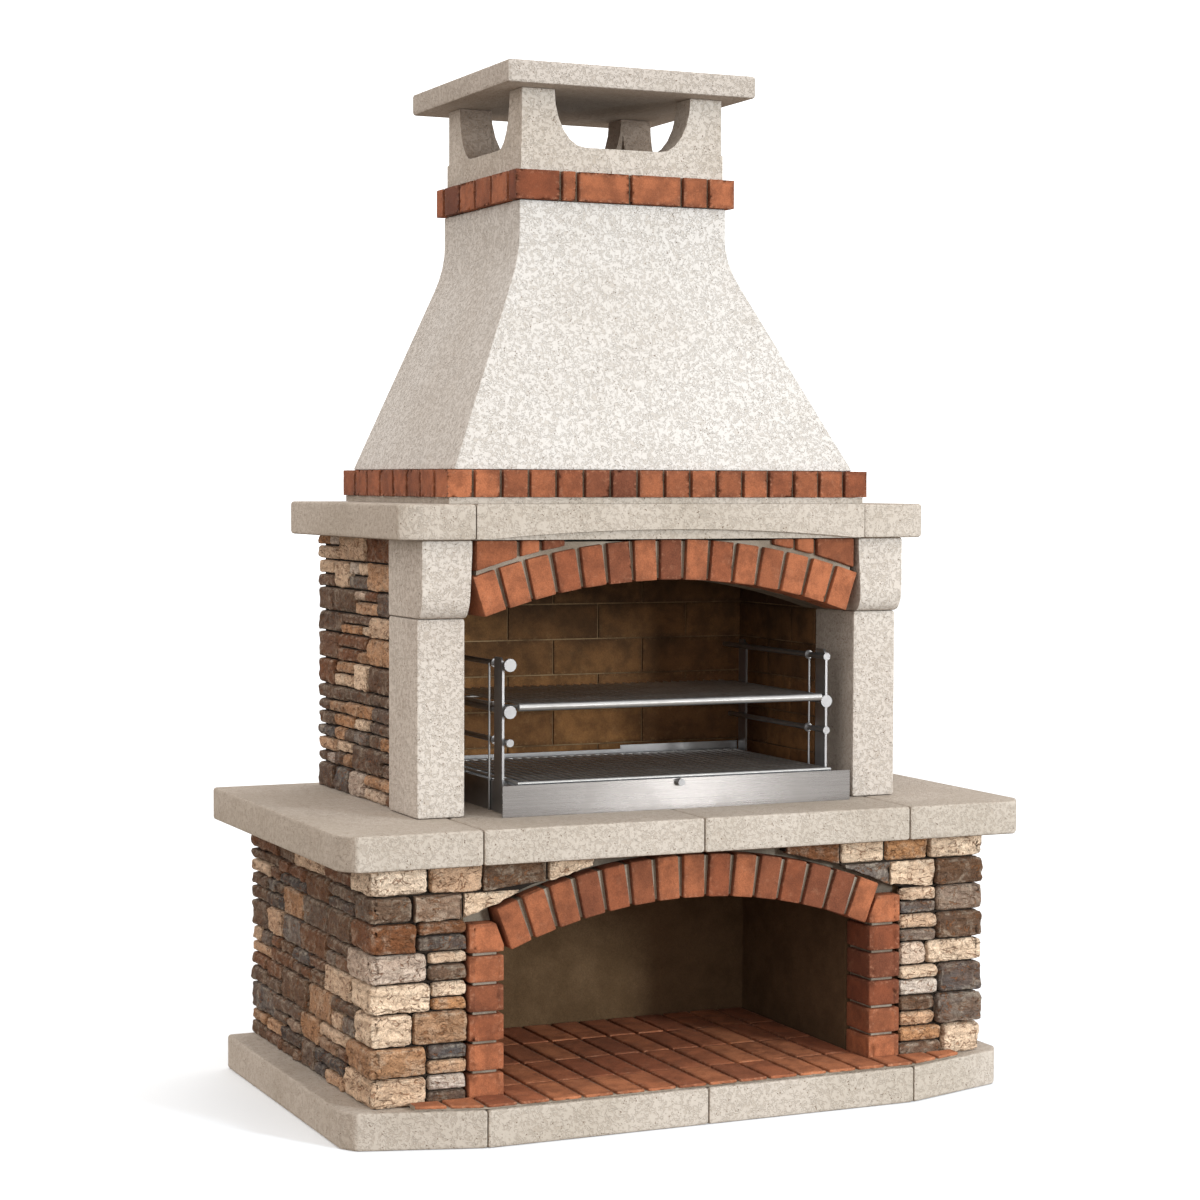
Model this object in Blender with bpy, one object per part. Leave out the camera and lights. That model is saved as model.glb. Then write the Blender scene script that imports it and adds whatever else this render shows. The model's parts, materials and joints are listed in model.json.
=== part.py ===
"""Masonry garden barbecue: cast slabs, stone cladding, brick arches, hood, cowl and steel grill set.

Metres, +Z up. The origin is the middle of the overall box at ground level, and the open front
faces -Y. Depths are measured forward from the back plane of the walls.
"""
import math
import random

import bmesh
import bpy
from mathutils import Matrix, Vector

# Clearances
GAP = 0.0003                  # between pieces that touch
BRICK_JOINT = 0.009           # mortar joint between facing bricks
PIER_JOINT = 0.0065
STONE_JOINT = 0.004           # dry joint between cladding stones
MORTAR_RECESS = 0.004         # mortar behind the brick faces
STONE_RECESS = 0.010          # bed behind the stone faces
ARCH_CLEARANCE = 0.0008       # between an arch's back and the lintel over it
CUTTER_SPARE = 0.050          # how far a cutter runs past what it cuts

# Base slab
BASE_HEIGHT = 0.078
BASE_SIDE_TOE = 0.055         # slab past the stone on each side
BASE_FRONT_TOE = 0.0825       # slab past the stone in front
BASE_END_TOE = 0.004          # the same, at the slab's swept-back ends
BASE_SEAM_X = 0.497           # joint between middle and end castings
BASE_CORNER_X = 0.025
BASE_CORNER_Y = 0.038
CAST_EDGE = 0.007             # rounding on the cast pieces
FINE_EDGE = 0.005             # the same on the slender ones

# Brick floor of the wood store
FLOOR_THICKNESS = 0.010
FLOOR_PITCH = 0.0714
FLOOR_CROSS_JOINT = 0.004
FLOOR_EDGE = 0.005            # slab left showing in front of the bricks
FLOOR_FIRST_ROW = 0.152
FLOOR_ROW = 0.180
FLOOR_REACH = 0.645           # half width of the paved strip in front

# Lower storey
LOWER_HALF = 0.720
LOWER_DEPTH = 0.8325
LOWER_HEIGHT = 0.4905
STONE_THICKNESS = 0.035
STORE_SIDE = 0.290            # wall and stone on each side of the wood store
STORE_BACK = 0.231            # depth at which the wood store ends
PIER_WIDTH = 0.077
PIER_DEPTH = 0.105
PIER_BRICKS = 6
PIER_DROP = 0.1265            # pier top below the worktop
LOWER_COURSES = 8
STONE_SHORTEST = 0.090
STONE_LONGEST = 0.210
STONE_UNEVENNESS = 0.15
SIDE_SPLIT_SHARE = 0.45       # share of the side's stones laid as thin ones
FRONT_SPLIT_SHARE = 0.75      # the same between the corner stones and the piers
STONE_SPLIT_AT = (0.42, 0.58)
THIN_SHORTEST = 0.055
STONE_SETBACK = 0.12          # share of the thickness that faces vary by
STONE_ROOT = 0.2              # share of the thickness that is bed only
STONE_LEAST = 0.004           # thinnest end of a cut stone
QUOIN_FRONT_ARM = (0.088, 0.142)
QUOIN_SIDE_ARM = (0.105, 0.190)
SPANDREL_REACH = 0.205        # how far the stones run over the arch
BED_STEP = 0.0005             # keeps the faces of joined beds apart
LEAST_SHARE = 0.05            # least part of a pier brick's side left by the arch

# Lower arch
ARCH_BRICKS = 15
LOWER_ARCH_DROP = 0.1015      # inner crown below the worktop
LOWER_ARCH_RISE = 0.084
LOWER_ARCH_INSET = 0.010      # arch's springing inside the piers' faces
LOWER_ARCH_BRICK = 0.0915
LOWER_ARCH_PROUD = 0.007

# Worktop
WORKTOP_THICKNESS = 0.074
WORKTOP_SIDE_NOSE = 0.077
WORKTOP_FRONT_NOSE = 0.0575
WORKTOP_BACK_NOSE = 0.037
WORKTOP_CORNER_X = 0.030
WORKTOP_CORNER_Y = 0.045

# Columns and corbels
COLUMN_OUTER = 0.570
COLUMN_INNER = 0.4625
COLUMN_FRONT = 0.695
COLUMN_DEPTH = 0.177
COLUMN_HEIGHT = 0.416
CORBEL_HEIGHT = 0.1635
CORBEL_REACH = 0.029
CORBEL_SPREAD = 0.0055        # corbel past the column's inner face, at the top
CORBEL_CURVE = 0.050          # height of the curve under the corbel's nose
LINTEL_BEARING = 0.048
LINTEL_DEPTH = 0.100

# Upper walls
UPPER_INSET = 0.011           # stone face behind the column's outer face
UPPER_STONE = 0.030
UPPER_COURSES = 10
LINING = 0.025
FIREBOX_BACK = 0.141
FIREBRICK_LENGTH = 0.230
FIREBRICK_COURSES = 7
FIREBRICK_JOINT = 0.003
FIREBRICK_RECESS = 0.003

# Upper arch
UPPER_ARCH_CROWN = 0.0755     # inner crown above the column tops
UPPER_ARCH_RISE = 0.074
UPPER_ARCH_HALF = 0.432
UPPER_ARCH_BRICK = 0.087
UPPER_ARCH_SETBACK = 0.003    # arch face behind the corbel noses
SPANDREL_TOP_JOINT = 0.005
SPANDREL_SEAMS = (0.356, 0.306, 0.248)

# Mantle
MANTLE_THICKNESS = 0.0745
MANTLE_SIDE_NOSE = 0.053
MANTLE_FRONT_NOSE = 0.0535
MANTLE_SEAM_X = 0.4576
MANTLE_CORNER_X = 0.045
MANTLE_CORNER_Y = 0.030
MANTLE_RELIEF_DEPTH = 0.014
MANTLE_RELIEF_RISE = 0.021
MANTLE_RELIEF_END = 0.002     # the same at the two ends
MANTLE_RELIEF_HALF = 0.430
SMOKE_HOLE_HALF = 0.360
SMOKE_HOLE_FRONT = 0.540
SMOKE_HOLE_BACK = 0.141

# Hood and its brick bands
LEDGE_HEIGHT = 0.0135
TRIM_HEIGHT = 0.058
TRIM_NOSE = 0.0225            # brick band past the hood's foot
LEDGE_INSET = 0.0065          # ledge behind the brick faces
TRIM_FRONT_BRICKS = 16
TRIM_SIDE_BRICKS = 8
TRIM_BRICK_DEPTH = 0.044
TRIM_FRONT_DEPTH = 0.0745
HOOD_HALF = 0.4765
HOOD_FRONT = 0.663
HOOD_BACK = 0.013
HOOD_HEIGHT = 0.589
HOOD_WALL = 0.040
HOOD_KNEE = 0.470             # height where the slope would meet the neck
HOOD_KNEE_BLEND = 0.055
NECK_HALF = 0.2515
NECK_FRONT = 0.4735
NECK_TRIM_HEIGHT = 0.064
NECK_TRIM_NOSE = 0.0135
NECK_TRIM_DEPTH = 0.045
NECK_TRIM_RUN = (0.102, 0.029, 0.119, 0.117, 0.056, 0.060)
NECK_TRIM_SIDE_BRICKS = 6

# Cowl and cap
COWL_INSET = 0.0055
COWL_BAND_HEIGHT = 0.056
COWL_WALL = 0.080
COWL_HEIGHT = 0.1235
COWL_POST_INSET = 0.003
COWL_POST_ROOT = 0.004
COWL_MOUTH_HALF = 0.165
COWL_SILL_HALF = 0.090
CAP_THICKNESS = 0.0495
CAP_NOSE = 0.054
CAP_FRONT_NOSE = 0.057
CAP_BACK_NOSE = 0.0905

# Grill set
GRILL_CENTRE = 0.020          # the set stands a little right of the middle
TRAY_HALF = 0.385
TRAY_FRONT = 0.729
TRAY_BACK = 0.246
TRAY_HEIGHT = 0.064
TRAY_SHEET = 0.003
FASCIA_HALF = 0.414
FASCIA_SHEET = 0.004
FASCIA_HEIGHT = 0.066
CATCH_RADIUS = 0.008
CATCH_LENGTH = 0.012
CATCH_X = -0.005
BACK_RIM_RISE = 0.024
BACK_RIM_STEP_X = 0.080
BACK_RIM_LOW_RISE = 0.015
UPRIGHT_SHEET = 0.005
UPRIGHT_TOP = 0.330           # above the worktop
UPRIGHT_CHAMFER = 0.012
FRONT_UPRIGHT_AT = 0.671      # depth of the front edge
FRONT_UPRIGHT_WIDTH = 0.045
BACK_UPRIGHT_AT = 0.286
BACK_UPRIGHT_WIDTH = 0.035
RAIL_RADIUS = 0.006
RAIL_HEIGHTS = (0.151, 0.216, 0.315)
RAIL_BACKS = (0.221, 0.245, 0.190)
RAIL_NOSE = 0.010             # rail past the front upright
TIE_ROD_RADIUS = 0.0025
TIE_ROD_BEHIND = 0.034        # behind the front upright
CAP_DISC_RADIUS = 0.014
CAP_DISC_LENGTH = 0.008
SMALL_DISC_RADIUS = 0.0085
COLLAR_RADIUS = 0.010
COLLAR_LENGTH = 0.004
COLLAR_STEP = 0.020           # collar behind the front upright
GRATE_HALF = 0.374
GRATE_ROD_RADIUS = 0.003
GRATE_RODS = 33
GRATE_ROD_RISE = 0.0012       # rods above the frame's middle line
GRATE_BAR_RADIUS = 0.004
GRATE_BARS = 2
GRATE_MARGIN = 0.010
GRATE_FOOT_RADIUS = 0.003
GRATE_FOOT_INSET = 0.060
GRID_SIDE_RADIUS = 0.004
GRID_TUBE_RADIUS = 0.008
GRID_TUBE_HALF = 0.362
GRID_FRONT = 0.692
GRID_BACK = 0.226
GRID_CORNER = 0.020
GRID_SHOULDER = 0.055
GRID_ROD_RADIUS = 0.0025
GRID_ROD_RISE = 0.0045
GRID_CROSS_DROP = 0.001       # cross rods below the frame's middle line
GRID_RODS = 34
GRID_CROSS_RODS = 2

# Counts for round shapes
ROD_SIDES = 6
TUBE_SIDES = 12
BAR_SIDES = 8
ARCH_STEPS = 20
SPANDREL_STEPS = 4
SEAM_STEPS = 3
CURVE_STEPS = 6
HOOD_STEPS = 4
CORNER_STEPS = 4

# Angles, in degrees
SMOOTH_BELOW = 40
ROUND_ABOVE = 35

# Levels, from the ground up
WORKTOP_UNDER = BASE_HEIGHT + LOWER_HEIGHT
WORKTOP_TOP = WORKTOP_UNDER + WORKTOP_THICKNESS
COLUMN_TOP = WORKTOP_TOP + COLUMN_HEIGHT
MANTLE_UNDER = COLUMN_TOP + CORBEL_HEIGHT
MANTLE_TOP = MANTLE_UNDER + MANTLE_THICKNESS
LEDGE_TOP = MANTLE_TOP + LEDGE_HEIGHT
HOOD_FOOT = LEDGE_TOP + TRIM_HEIGHT
HOOD_TOP = HOOD_FOOT + HOOD_HEIGHT
BAND_FOOT = HOOD_TOP + NECK_TRIM_HEIGHT
BAND_TOP = BAND_FOOT + COWL_BAND_HEIGHT
CAP_UNDER = BAND_TOP + COWL_HEIGHT
CAP_TOP = CAP_UNDER + CAP_THICKNESS

# Plan positions that several pieces share
COWL_HALF = NECK_HALF - COWL_INSET
COWL_FRONT = NECK_FRONT - COWL_INSET
COWL_BACK = HOOD_BACK + COWL_INSET
BACK_PLANE = (LOWER_DEPTH + BASE_FRONT_TOE + COWL_BACK - CAP_BACK_NOSE) / 2
STORE_HALF = LOWER_HALF - STORE_SIDE
LOWER_ARCH_HALF = STORE_HALF - LOWER_ARCH_INSET
SPANDREL_TIP = STORE_HALF - SPANDREL_REACH
PIER_HEIGHT = LOWER_HEIGHT - PIER_DROP
LOWER_CORE = LOWER_HALF - STONE_THICKNESS
LOWER_CORE_FRONT = LOWER_DEPTH - STONE_THICKNESS
UPPER_FACE = COLUMN_OUTER - UPPER_INSET
UPPER_CORE = UPPER_FACE - UPPER_STONE
LINING_BACKING = COLUMN_INNER + LINING
COLUMN_BACK = COLUMN_FRONT - COLUMN_DEPTH
PIER_OUTER = STORE_HALF + PIER_WIDTH
TRIM_HALF = HOOD_HALF + TRIM_NOSE
TRIM_FRONT = HOOD_FRONT + TRIM_NOSE
UPRIGHT_INNER = TRAY_HALF + GAP
RAIL_X = UPRIGHT_INNER - GAP - RAIL_RADIUS

PALETTE = {
    "cast_stone": ((0.72, 0.64, 0.54), 0.90, 0.0),
    "render": ((0.60, 0.50, 0.39), 0.95, 0.0),
    "core": ((0.45, 0.40, 0.34), 0.95, 0.0),
    "ledge_stone": ((0.42, 0.31, 0.22), 0.90, 0.0),
    "red_brick": ((0.36, 0.13, 0.065), 0.85, 0.0),
    "firebrick": ((0.24, 0.13, 0.075), 0.90, 0.0),
    "steel": ((0.62, 0.61, 0.59), 0.28, 1.0),
}


def clear_scene():
    """Remove every object, so that only the barbecue is left."""
    for thing in list(bpy.data.objects):
        bpy.data.objects.remove(thing, do_unlink=True)


def material(kind, name):
    """Give a piece its own material, of one of the kinds in PALETTE."""
    colour, roughness, metallic = PALETTE[kind]
    made = bpy.data.materials.new(name)
    made.use_nodes = True
    shader = made.node_tree.nodes["Principled BSDF"]
    shader.inputs["Base Color"].default_value = (*colour, 1.0)
    shader.inputs["Roughness"].default_value = roughness
    shader.inputs["Metallic"].default_value = metallic
    return made


def y_at(depth):
    """Turn a depth, measured forward from the walls' back plane, into a Y position."""
    return BACK_PLANE - depth


def spatial(a, b, along, axis):
    """Put an outline point in space: its two values lie across the given axis."""
    if axis == "X":
        return Vector((along, a, b))
    if axis == "Y":
        return Vector((a, along, b))
    return Vector((a, b, along))


def add_prism(bm, outline, low, high, axis):
    """Add a flat outline that is extruded from low to high along an axis."""
    corners = [bm.verts.new(spatial(a, b, low, axis)) for a, b in outline]
    face = bm.faces.new(corners)
    grown = bmesh.ops.extrude_face_region(bm, geom=[face])["geom"]
    moved = [item for item in grown if isinstance(item, bmesh.types.BMVert)]
    bmesh.ops.translate(bm, vec=spatial(0, 0, high - low, axis), verts=moved)


def add_box(bm, x_span, y_span, z_span):
    """Add a box between two values on each axis, in either order."""
    low = Vector((min(x_span), min(y_span), min(z_span)))
    high = Vector((max(x_span), max(y_span), max(z_span)))
    scale = Matrix.Diagonal((*(high - low), 1.0))
    bmesh.ops.create_cube(bm, size=1.0, matrix=Matrix.Translation((low + high) / 2) @ scale)


def add_rod(bm, start, end, radius, sides=ROD_SIDES):
    """Add a round bar between two points."""
    start = Vector(start)
    run = Vector(end) - start
    turn = run.to_track_quat("Z", "Y").to_matrix().to_4x4()
    bmesh.ops.create_cone(bm, cap_ends=True, segments=sides, radius1=radius, radius2=radius,
                          depth=run.length, matrix=Matrix.Translation(start + run / 2) @ turn)


def make(name, bm, kind, parent=None, smooth=False):
    """Turn a bmesh into a named object whose origin is the middle of its own box."""
    bmesh.ops.recalc_face_normals(bm, faces=bm.faces)
    mesh = bpy.data.meshes.new(name)
    bm.to_mesh(mesh)
    bm.free()
    places = [vertex.co for vertex in mesh.vertices]
    low = Vector([min(place[i] for place in places) for i in range(3)])
    high = Vector([max(place[i] for place in places) for i in range(3)])
    middle = (low + high) / 2
    mesh.transform(Matrix.Translation(-middle))
    if smooth:
        mesh.shade_smooth()
        mesh.set_sharp_from_angle(angle=math.radians(SMOOTH_BELOW))
    thing = bpy.data.objects.new(name, mesh)
    bpy.context.scene.collection.objects.link(thing)
    thing.location = middle
    if parent is not None:
        thing.parent = parent
        thing.location = middle - parent.location
    mesh.materials.append(material(kind, name))
    return thing


def round_edges(thing, width=CAST_EDGE):
    """Round the edges of a cast piece."""
    bevel = thing.modifiers.new("rounding", "BEVEL")
    bevel.width = width
    bevel.segments = 2
    bevel.limit_method = "ANGLE"
    bevel.angle_limit = math.radians(ROUND_ABOVE)


def combine(thing, name, bm, operation):
    """Join a hidden helper shape to a piece, or cut it out of the piece."""
    bmesh.ops.recalc_face_normals(bm, faces=bm.faces)
    mesh = bpy.data.meshes.new(name)
    bm.to_mesh(mesh)
    bm.free()
    helper = bpy.data.objects.new(name, mesh)
    bpy.context.scene.collection.objects.link(helper)
    helper.hide_render = True
    helper.display_type = "WIRE"
    boolean = thing.modifiers.new(name, "BOOLEAN")
    boolean.operation = operation
    boolean.solver = "EXACT"
    boolean.object = helper
    return helper


def cut(thing, name, outline, low, high, axis):
    """Cut a prism out of a piece."""
    bm = bmesh.new()
    add_prism(bm, outline, low, high, axis)
    return combine(thing, name, bm, "DIFFERENCE")


def rectangle(a_span, b_span):
    """Give the four corners of a rectangle."""
    return [(a_span[0], b_span[0]), (a_span[1], b_span[0]),
            (a_span[1], b_span[1]), (a_span[0], b_span[1])]


def slab(name, outline, low, high):
    """Make a cast slab from its plan, with rounded edges."""
    bm = bmesh.new()
    add_prism(bm, outline, low, high, "Z")
    round_edges(make(name, bm, "cast_stone"))


class Arch:
    """A segmental arch of bricks, from the rise and half span of its inner curve."""

    def __init__(self, crown, rise, half, brick_length):
        self.inner = (half * half + rise * rise) / (2 * rise)
        self.outer = self.inner + brick_length
        self.centre = crown - self.inner
        self.pitch = 2 * math.asin(half / self.inner) / ARCH_BRICKS
        self.last = self.pitch * (ARCH_BRICKS - 1) / 2
        self.half_brick = (self.inner * self.pitch - BRICK_JOINT) / 2

    def height(self, x, radius):
        """Give the height of a circle round the arch's centre at x."""
        return self.centre + math.sqrt(radius * radius - x * x)

    def curve(self, radius, first, last, steps=ARCH_STEPS):
        """Give points of a circle between two angles from the vertical."""
        points = []
        for step in range(steps + 1):
            angle = first + (last - first) * step / steps
            points.append((radius * math.sin(angle), self.centre + radius * math.cos(angle)))
        return points

    def end_x(self, z, clearance):
        """Give the x, at a height, of a line beside the last brick's outer side."""
        side = self.half_brick + clearance
        return (z - self.centre) * math.tan(self.last) + side / math.cos(self.last)

    def add_bricks(self, bm, front, back):
        """Add the bricks, each pointing at the arch's centre."""
        for index in range(ARCH_BRICKS):
            angle = index * self.pitch - self.last
            out = Vector((math.sin(angle), math.cos(angle)))
            sideways = Vector((math.cos(angle), -math.sin(angle)))
            centre = Vector((0.0, self.centre))
            outline = [centre + out * radius + sideways * self.half_brick * side
                       for radius, side in ((self.inner, -1), (self.inner, 1),
                                            (self.outer, 1), (self.outer, -1))]
            add_prism(bm, outline, y_at(front), y_at(back), "Y")


def spread(total, count, rng, unevenness):
    """Divide a length into uneven shares, and give the positions between them."""
    weights = [1 + rng.uniform(-unevenness, unevenness) for _ in range(count)]
    places = [0.0]
    for weight in weights:
        places.append(places[-1] + total * weight / sum(weights))
    return places


def base_slab():
    """Make the base from four castings; the end ones sweep back and have cut corners."""
    front = y_at(LOWER_DEPTH + BASE_FRONT_TOE)
    end_front = y_at(LOWER_DEPTH + BASE_END_TOE)
    back = y_at(0)
    half = LOWER_HALF + BASE_SIDE_TOE
    seam = BASE_SEAM_X
    for word, side in (("left", -1), ("right", 1)):
        middle = rectangle((side * GAP / 2, side * (seam - GAP / 2)), (front, back))
        slab("base_slab_mid_" + word, middle, 0.0, BASE_HEIGHT)
        inner = side * (seam + GAP / 2)
        end = [(inner, front), (side * (half - BASE_CORNER_X), end_front),
               (side * half, end_front + BASE_CORNER_Y), (side * half, back), (inner, back)]
        slab("base_slab_" + word, end, 0.0, BASE_HEIGHT)


def slab_front(x):
    """Give the Y of the base slab's front edge at x."""
    front = y_at(LOWER_DEPTH + BASE_FRONT_TOE)
    end_front = y_at(LOWER_DEPTH + BASE_END_TOE)
    end_x = LOWER_HALF + BASE_SIDE_TOE - BASE_CORNER_X
    share = max(0.0, (abs(x) - BASE_SEAM_X) / (end_x - BASE_SEAM_X))
    return front + (end_front - front) * share


def floor_bricks():
    """Pave the wood store and the strip in front of the piers, on a bed of mortar."""
    low = BASE_HEIGHT + GAP
    high = BASE_HEIGHT + FLOOR_THICKNESS
    store_end = y_at(STORE_BACK) - GAP
    strip_end = y_at(LOWER_DEPTH) - GAP
    count = math.floor(FLOOR_REACH / FLOOR_PITCH)
    reach = count * FLOOR_PITCH - BRICK_JOINT / 2
    corner = min(BASE_SEAM_X, reach)
    inside = STORE_HALF - GAP
    bed = []
    for x in (-reach, -corner, corner, reach):
        bed.append((x, slab_front(x) + FLOOR_EDGE + MORTAR_RECESS))
    bed += [(reach, strip_end - MORTAR_RECESS), (inside, strip_end - MORTAR_RECESS),
            (inside, store_end - MORTAR_RECESS), (-inside, store_end - MORTAR_RECESS),
            (-inside, strip_end - MORTAR_RECESS), (-reach, strip_end - MORTAR_RECESS)]
    bm = bmesh.new()
    add_prism(bm, bed, low, high - MORTAR_RECESS, "Z")
    floor = make("floor_bricks", bm, "red_brick")
    bm = bmesh.new()
    for column in range(-count, count):
        start = column * FLOOR_PITCH + BRICK_JOINT / 2
        end = (column + 1) * FLOOR_PITCH - BRICK_JOINT / 2
        limit = strip_end
        if max(abs(start), abs(end)) < STORE_HALF:
            limit = store_end
        front = [slab_front(start) + FLOOR_EDGE, slab_front(end) + FLOOR_EDGE]
        seam = y_at(LOWER_DEPTH + BASE_FRONT_TOE) + FLOOR_FIRST_ROW
        while limit - seam > FLOOR_ROW / 4:
            back = seam - FLOOR_CROSS_JOINT
            outline = [(start, front[0]), (end, front[1]), (end, back), (start, back)]
            add_prism(bm, outline, low + MORTAR_RECESS, high, "Z")
            front = [seam, seam]
            seam += FLOOR_ROW
        outline = [(start, front[0]), (end, front[1]), (end, limit), (start, limit)]
        add_prism(bm, outline, low + MORTAR_RECESS, high, "Z")
    combine(floor, "helper_floor", bm, "UNION")


def lower_walls():
    """Make the lower side and back walls, which stand on the base slab."""
    low = BASE_HEIGHT + GAP
    high = WORKTOP_UNDER - GAP
    for word, side in (("left", -1), ("right", 1)):
        outline = [(side * STORE_HALF, y_at(0)),
                   (side * STORE_HALF, y_at(LOWER_DEPTH - PIER_DEPTH) + GAP),
                   (side * (PIER_OUTER + GAP), y_at(LOWER_DEPTH - PIER_DEPTH) + GAP),
                   (side * (PIER_OUTER + GAP), y_at(LOWER_CORE_FRONT) + GAP),
                   (side * (LOWER_CORE - GAP), y_at(LOWER_CORE_FRONT) + GAP),
                   (side * (LOWER_CORE - GAP), y_at(0))]
        bm = bmesh.new()
        add_prism(bm, outline, low, high, "Z")
        make("lower_side_wall_" + word, bm, "render")
    bm = bmesh.new()
    add_box(bm, (-STORE_HALF + GAP, STORE_HALF - GAP), (y_at(STORE_BACK), y_at(0)), (low, high))
    make("lower_back_wall", bm, "render")


def arch_bed(arch):
    """Give the outline of the mortar between an arch's bricks."""
    inner = arch.curve(arch.inner + MORTAR_RECESS, -arch.last, arch.last)
    outer = arch.curve(arch.outer - MORTAR_RECESS, arch.last, -arch.last)
    return inner + outer


def lower_arch():
    """Make the lower arch, the piers that carry it and the lintel above it."""
    arch = Arch(WORKTOP_UNDER - LOWER_ARCH_DROP, LOWER_ARCH_RISE, LOWER_ARCH_HALF,
                LOWER_ARCH_BRICK)
    face = LOWER_DEPTH + LOWER_ARCH_PROUD
    back = LOWER_DEPTH - PIER_DEPTH
    bm = bmesh.new()
    add_prism(bm, arch_bed(arch), y_at(face - MORTAR_RECESS), y_at(back) - GAP, "Y")
    ring = make("lower_arch_bricks", bm, "red_brick")
    bm = bmesh.new()
    arch.add_bricks(bm, face, back + MORTAR_RECESS)
    combine(ring, "helper_lower_arch", bm, "UNION")
    for word, side in (("left", -1), ("right", 1)):
        brick_pier(arch, word, side)
    lintel_foot = BASE_HEIGHT + PIER_HEIGHT + GAP
    lintel_top = WORKTOP_UNDER - GAP
    corner = arch.last + math.atan(arch.half_brick / arch.outer)
    crown = arch.curve(arch.outer + ARCH_CLEARANCE, -corner, corner)
    foot_x = arch.end_x(lintel_foot, BRICK_JOINT)
    side_x = arch.end_x(crown[0][1], BRICK_JOINT / 2)
    outline = [(-PIER_OUTER, lintel_foot), (-foot_x, lintel_foot), (-side_x, crown[0][1])]
    outline += crown
    outline += [(side_x, crown[0][1]), (foot_x, lintel_foot), (PIER_OUTER, lintel_foot),
                (PIER_OUTER, lintel_top), (-PIER_OUTER, lintel_top)]
    bm = bmesh.new()
    add_prism(bm, outline, y_at(LOWER_CORE_FRONT) + GAP, y_at(back), "Y")
    make("lower_lintel", bm, "core")
    return arch


def brick_pier(arch, word, side):
    """Make a pier of bricks whose top one is cut to the arch's first brick."""

    def outline(low, high, inset):
        inner, outer = STORE_HALF + inset, PIER_OUTER - inset
        foot_x = arch.end_x(low, BRICK_JOINT + inset)
        shoulder = arch.end_x(high, BRICK_JOINT + inset)
        corners = rectangle((inner, outer), (low, high))
        if shoulder > inner:
            share = (inner - foot_x) / (shoulder - foot_x)
            share = min(max(share, LEAST_SHARE), 1 - LEAST_SHARE)
            corners = [(inner, low), (outer, low), (outer, high),
                       (min(shoulder, outer - GAP), high), (inner, low + (high - low) * share)]
        return [(side * x, z) for x, z in corners]

    pitch = PIER_HEIGHT / PIER_BRICKS
    foot = BASE_HEIGHT + GAP
    bm = bmesh.new()
    add_prism(bm, outline(foot + MORTAR_RECESS, foot + PIER_HEIGHT - BRICK_JOINT, MORTAR_RECESS),
              y_at(LOWER_DEPTH - MORTAR_RECESS), y_at(LOWER_DEPTH - PIER_DEPTH), "Y")
    pier = make("brick_pier_" + word, bm, "red_brick")
    bm = bmesh.new()
    for index in range(PIER_BRICKS):
        low = foot + index * pitch
        high = low + pitch - PIER_JOINT
        if index == PIER_BRICKS - 1:
            high = foot + PIER_HEIGHT - GAP
        add_prism(bm, outline(low, high, 0.0), y_at(LOWER_DEPTH),
                  y_at(LOWER_DEPTH - PIER_DEPTH + MORTAR_RECESS), "Y")
    combine(pier, "helper_pier_" + word, bm, "UNION")


def run_of_stones(start, end, rng):
    """Divide a run of wall into stones of uneven length, and give each one's two ends."""
    places = [start]
    while end - places[-1] > STONE_LONGEST:
        step = rng.uniform(STONE_SHORTEST, STONE_LONGEST)
        if end - places[-1] - step < STONE_SHORTEST:
            step = (end - places[-1]) / 2
        places.append(places[-1] + step)
    places.append(end)
    return [(a + STONE_JOINT / 2, b - STONE_JOINT / 2) for a, b in zip(places, places[1:])]


def course_levels(foot, top, count, rng):
    """Divide a clad wall into courses, and give the low and high level of each."""
    levels = spread(top - foot, count, rng, STONE_UNEVENNESS)
    courses = [[foot + low + STONE_JOINT / 2, foot + high - STONE_JOINT / 2]
               for low, high in zip(levels, levels[1:])]
    courses[0][0] = foot + GAP
    courses[-1][1] = top - GAP
    return courses


def thin_stones(span, levels, share, rng):
    """Give the place of one stone, or those of the thin ones that are laid in its stead."""
    if rng.random() > share:
        return [(span, levels)]
    start, end = span
    middle = levels[0] + (levels[1] - levels[0]) * rng.uniform(*STONE_SPLIT_AT)
    halves = [(levels[0], middle - STONE_JOINT / 2), (middle + STONE_JOINT / 2, levels[1])]
    rng.shuffle(halves)
    if end - start < 2 * THIN_SHORTEST:
        return [(span, half) for half in halves]
    seam = rng.uniform(start + THIN_SHORTEST, end - THIN_SHORTEST)
    return [(span, halves[0]), ((start, seam - STONE_JOINT / 2), halves[1]),
            ((seam + STONE_JOINT / 2, end), halves[1])]


def side_stones(bm, x_span, y_span, courses, rng):
    """Fill the courses of a side wall with stones that stand out unevenly."""
    core_x, face_x = x_span
    root = core_x + (face_x - core_x) * STONE_ROOT
    for course, start_y in zip(courses, y_span[0]):
        for run in run_of_stones(start_y, y_span[1], rng):
            for span, levels in thin_stones(run, course, SIDE_SPLIT_SHARE, rng):
                proud = face_x + (core_x - face_x) * rng.uniform(0, STONE_SETBACK)
                add_box(bm, (root, proud), span, levels)


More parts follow.
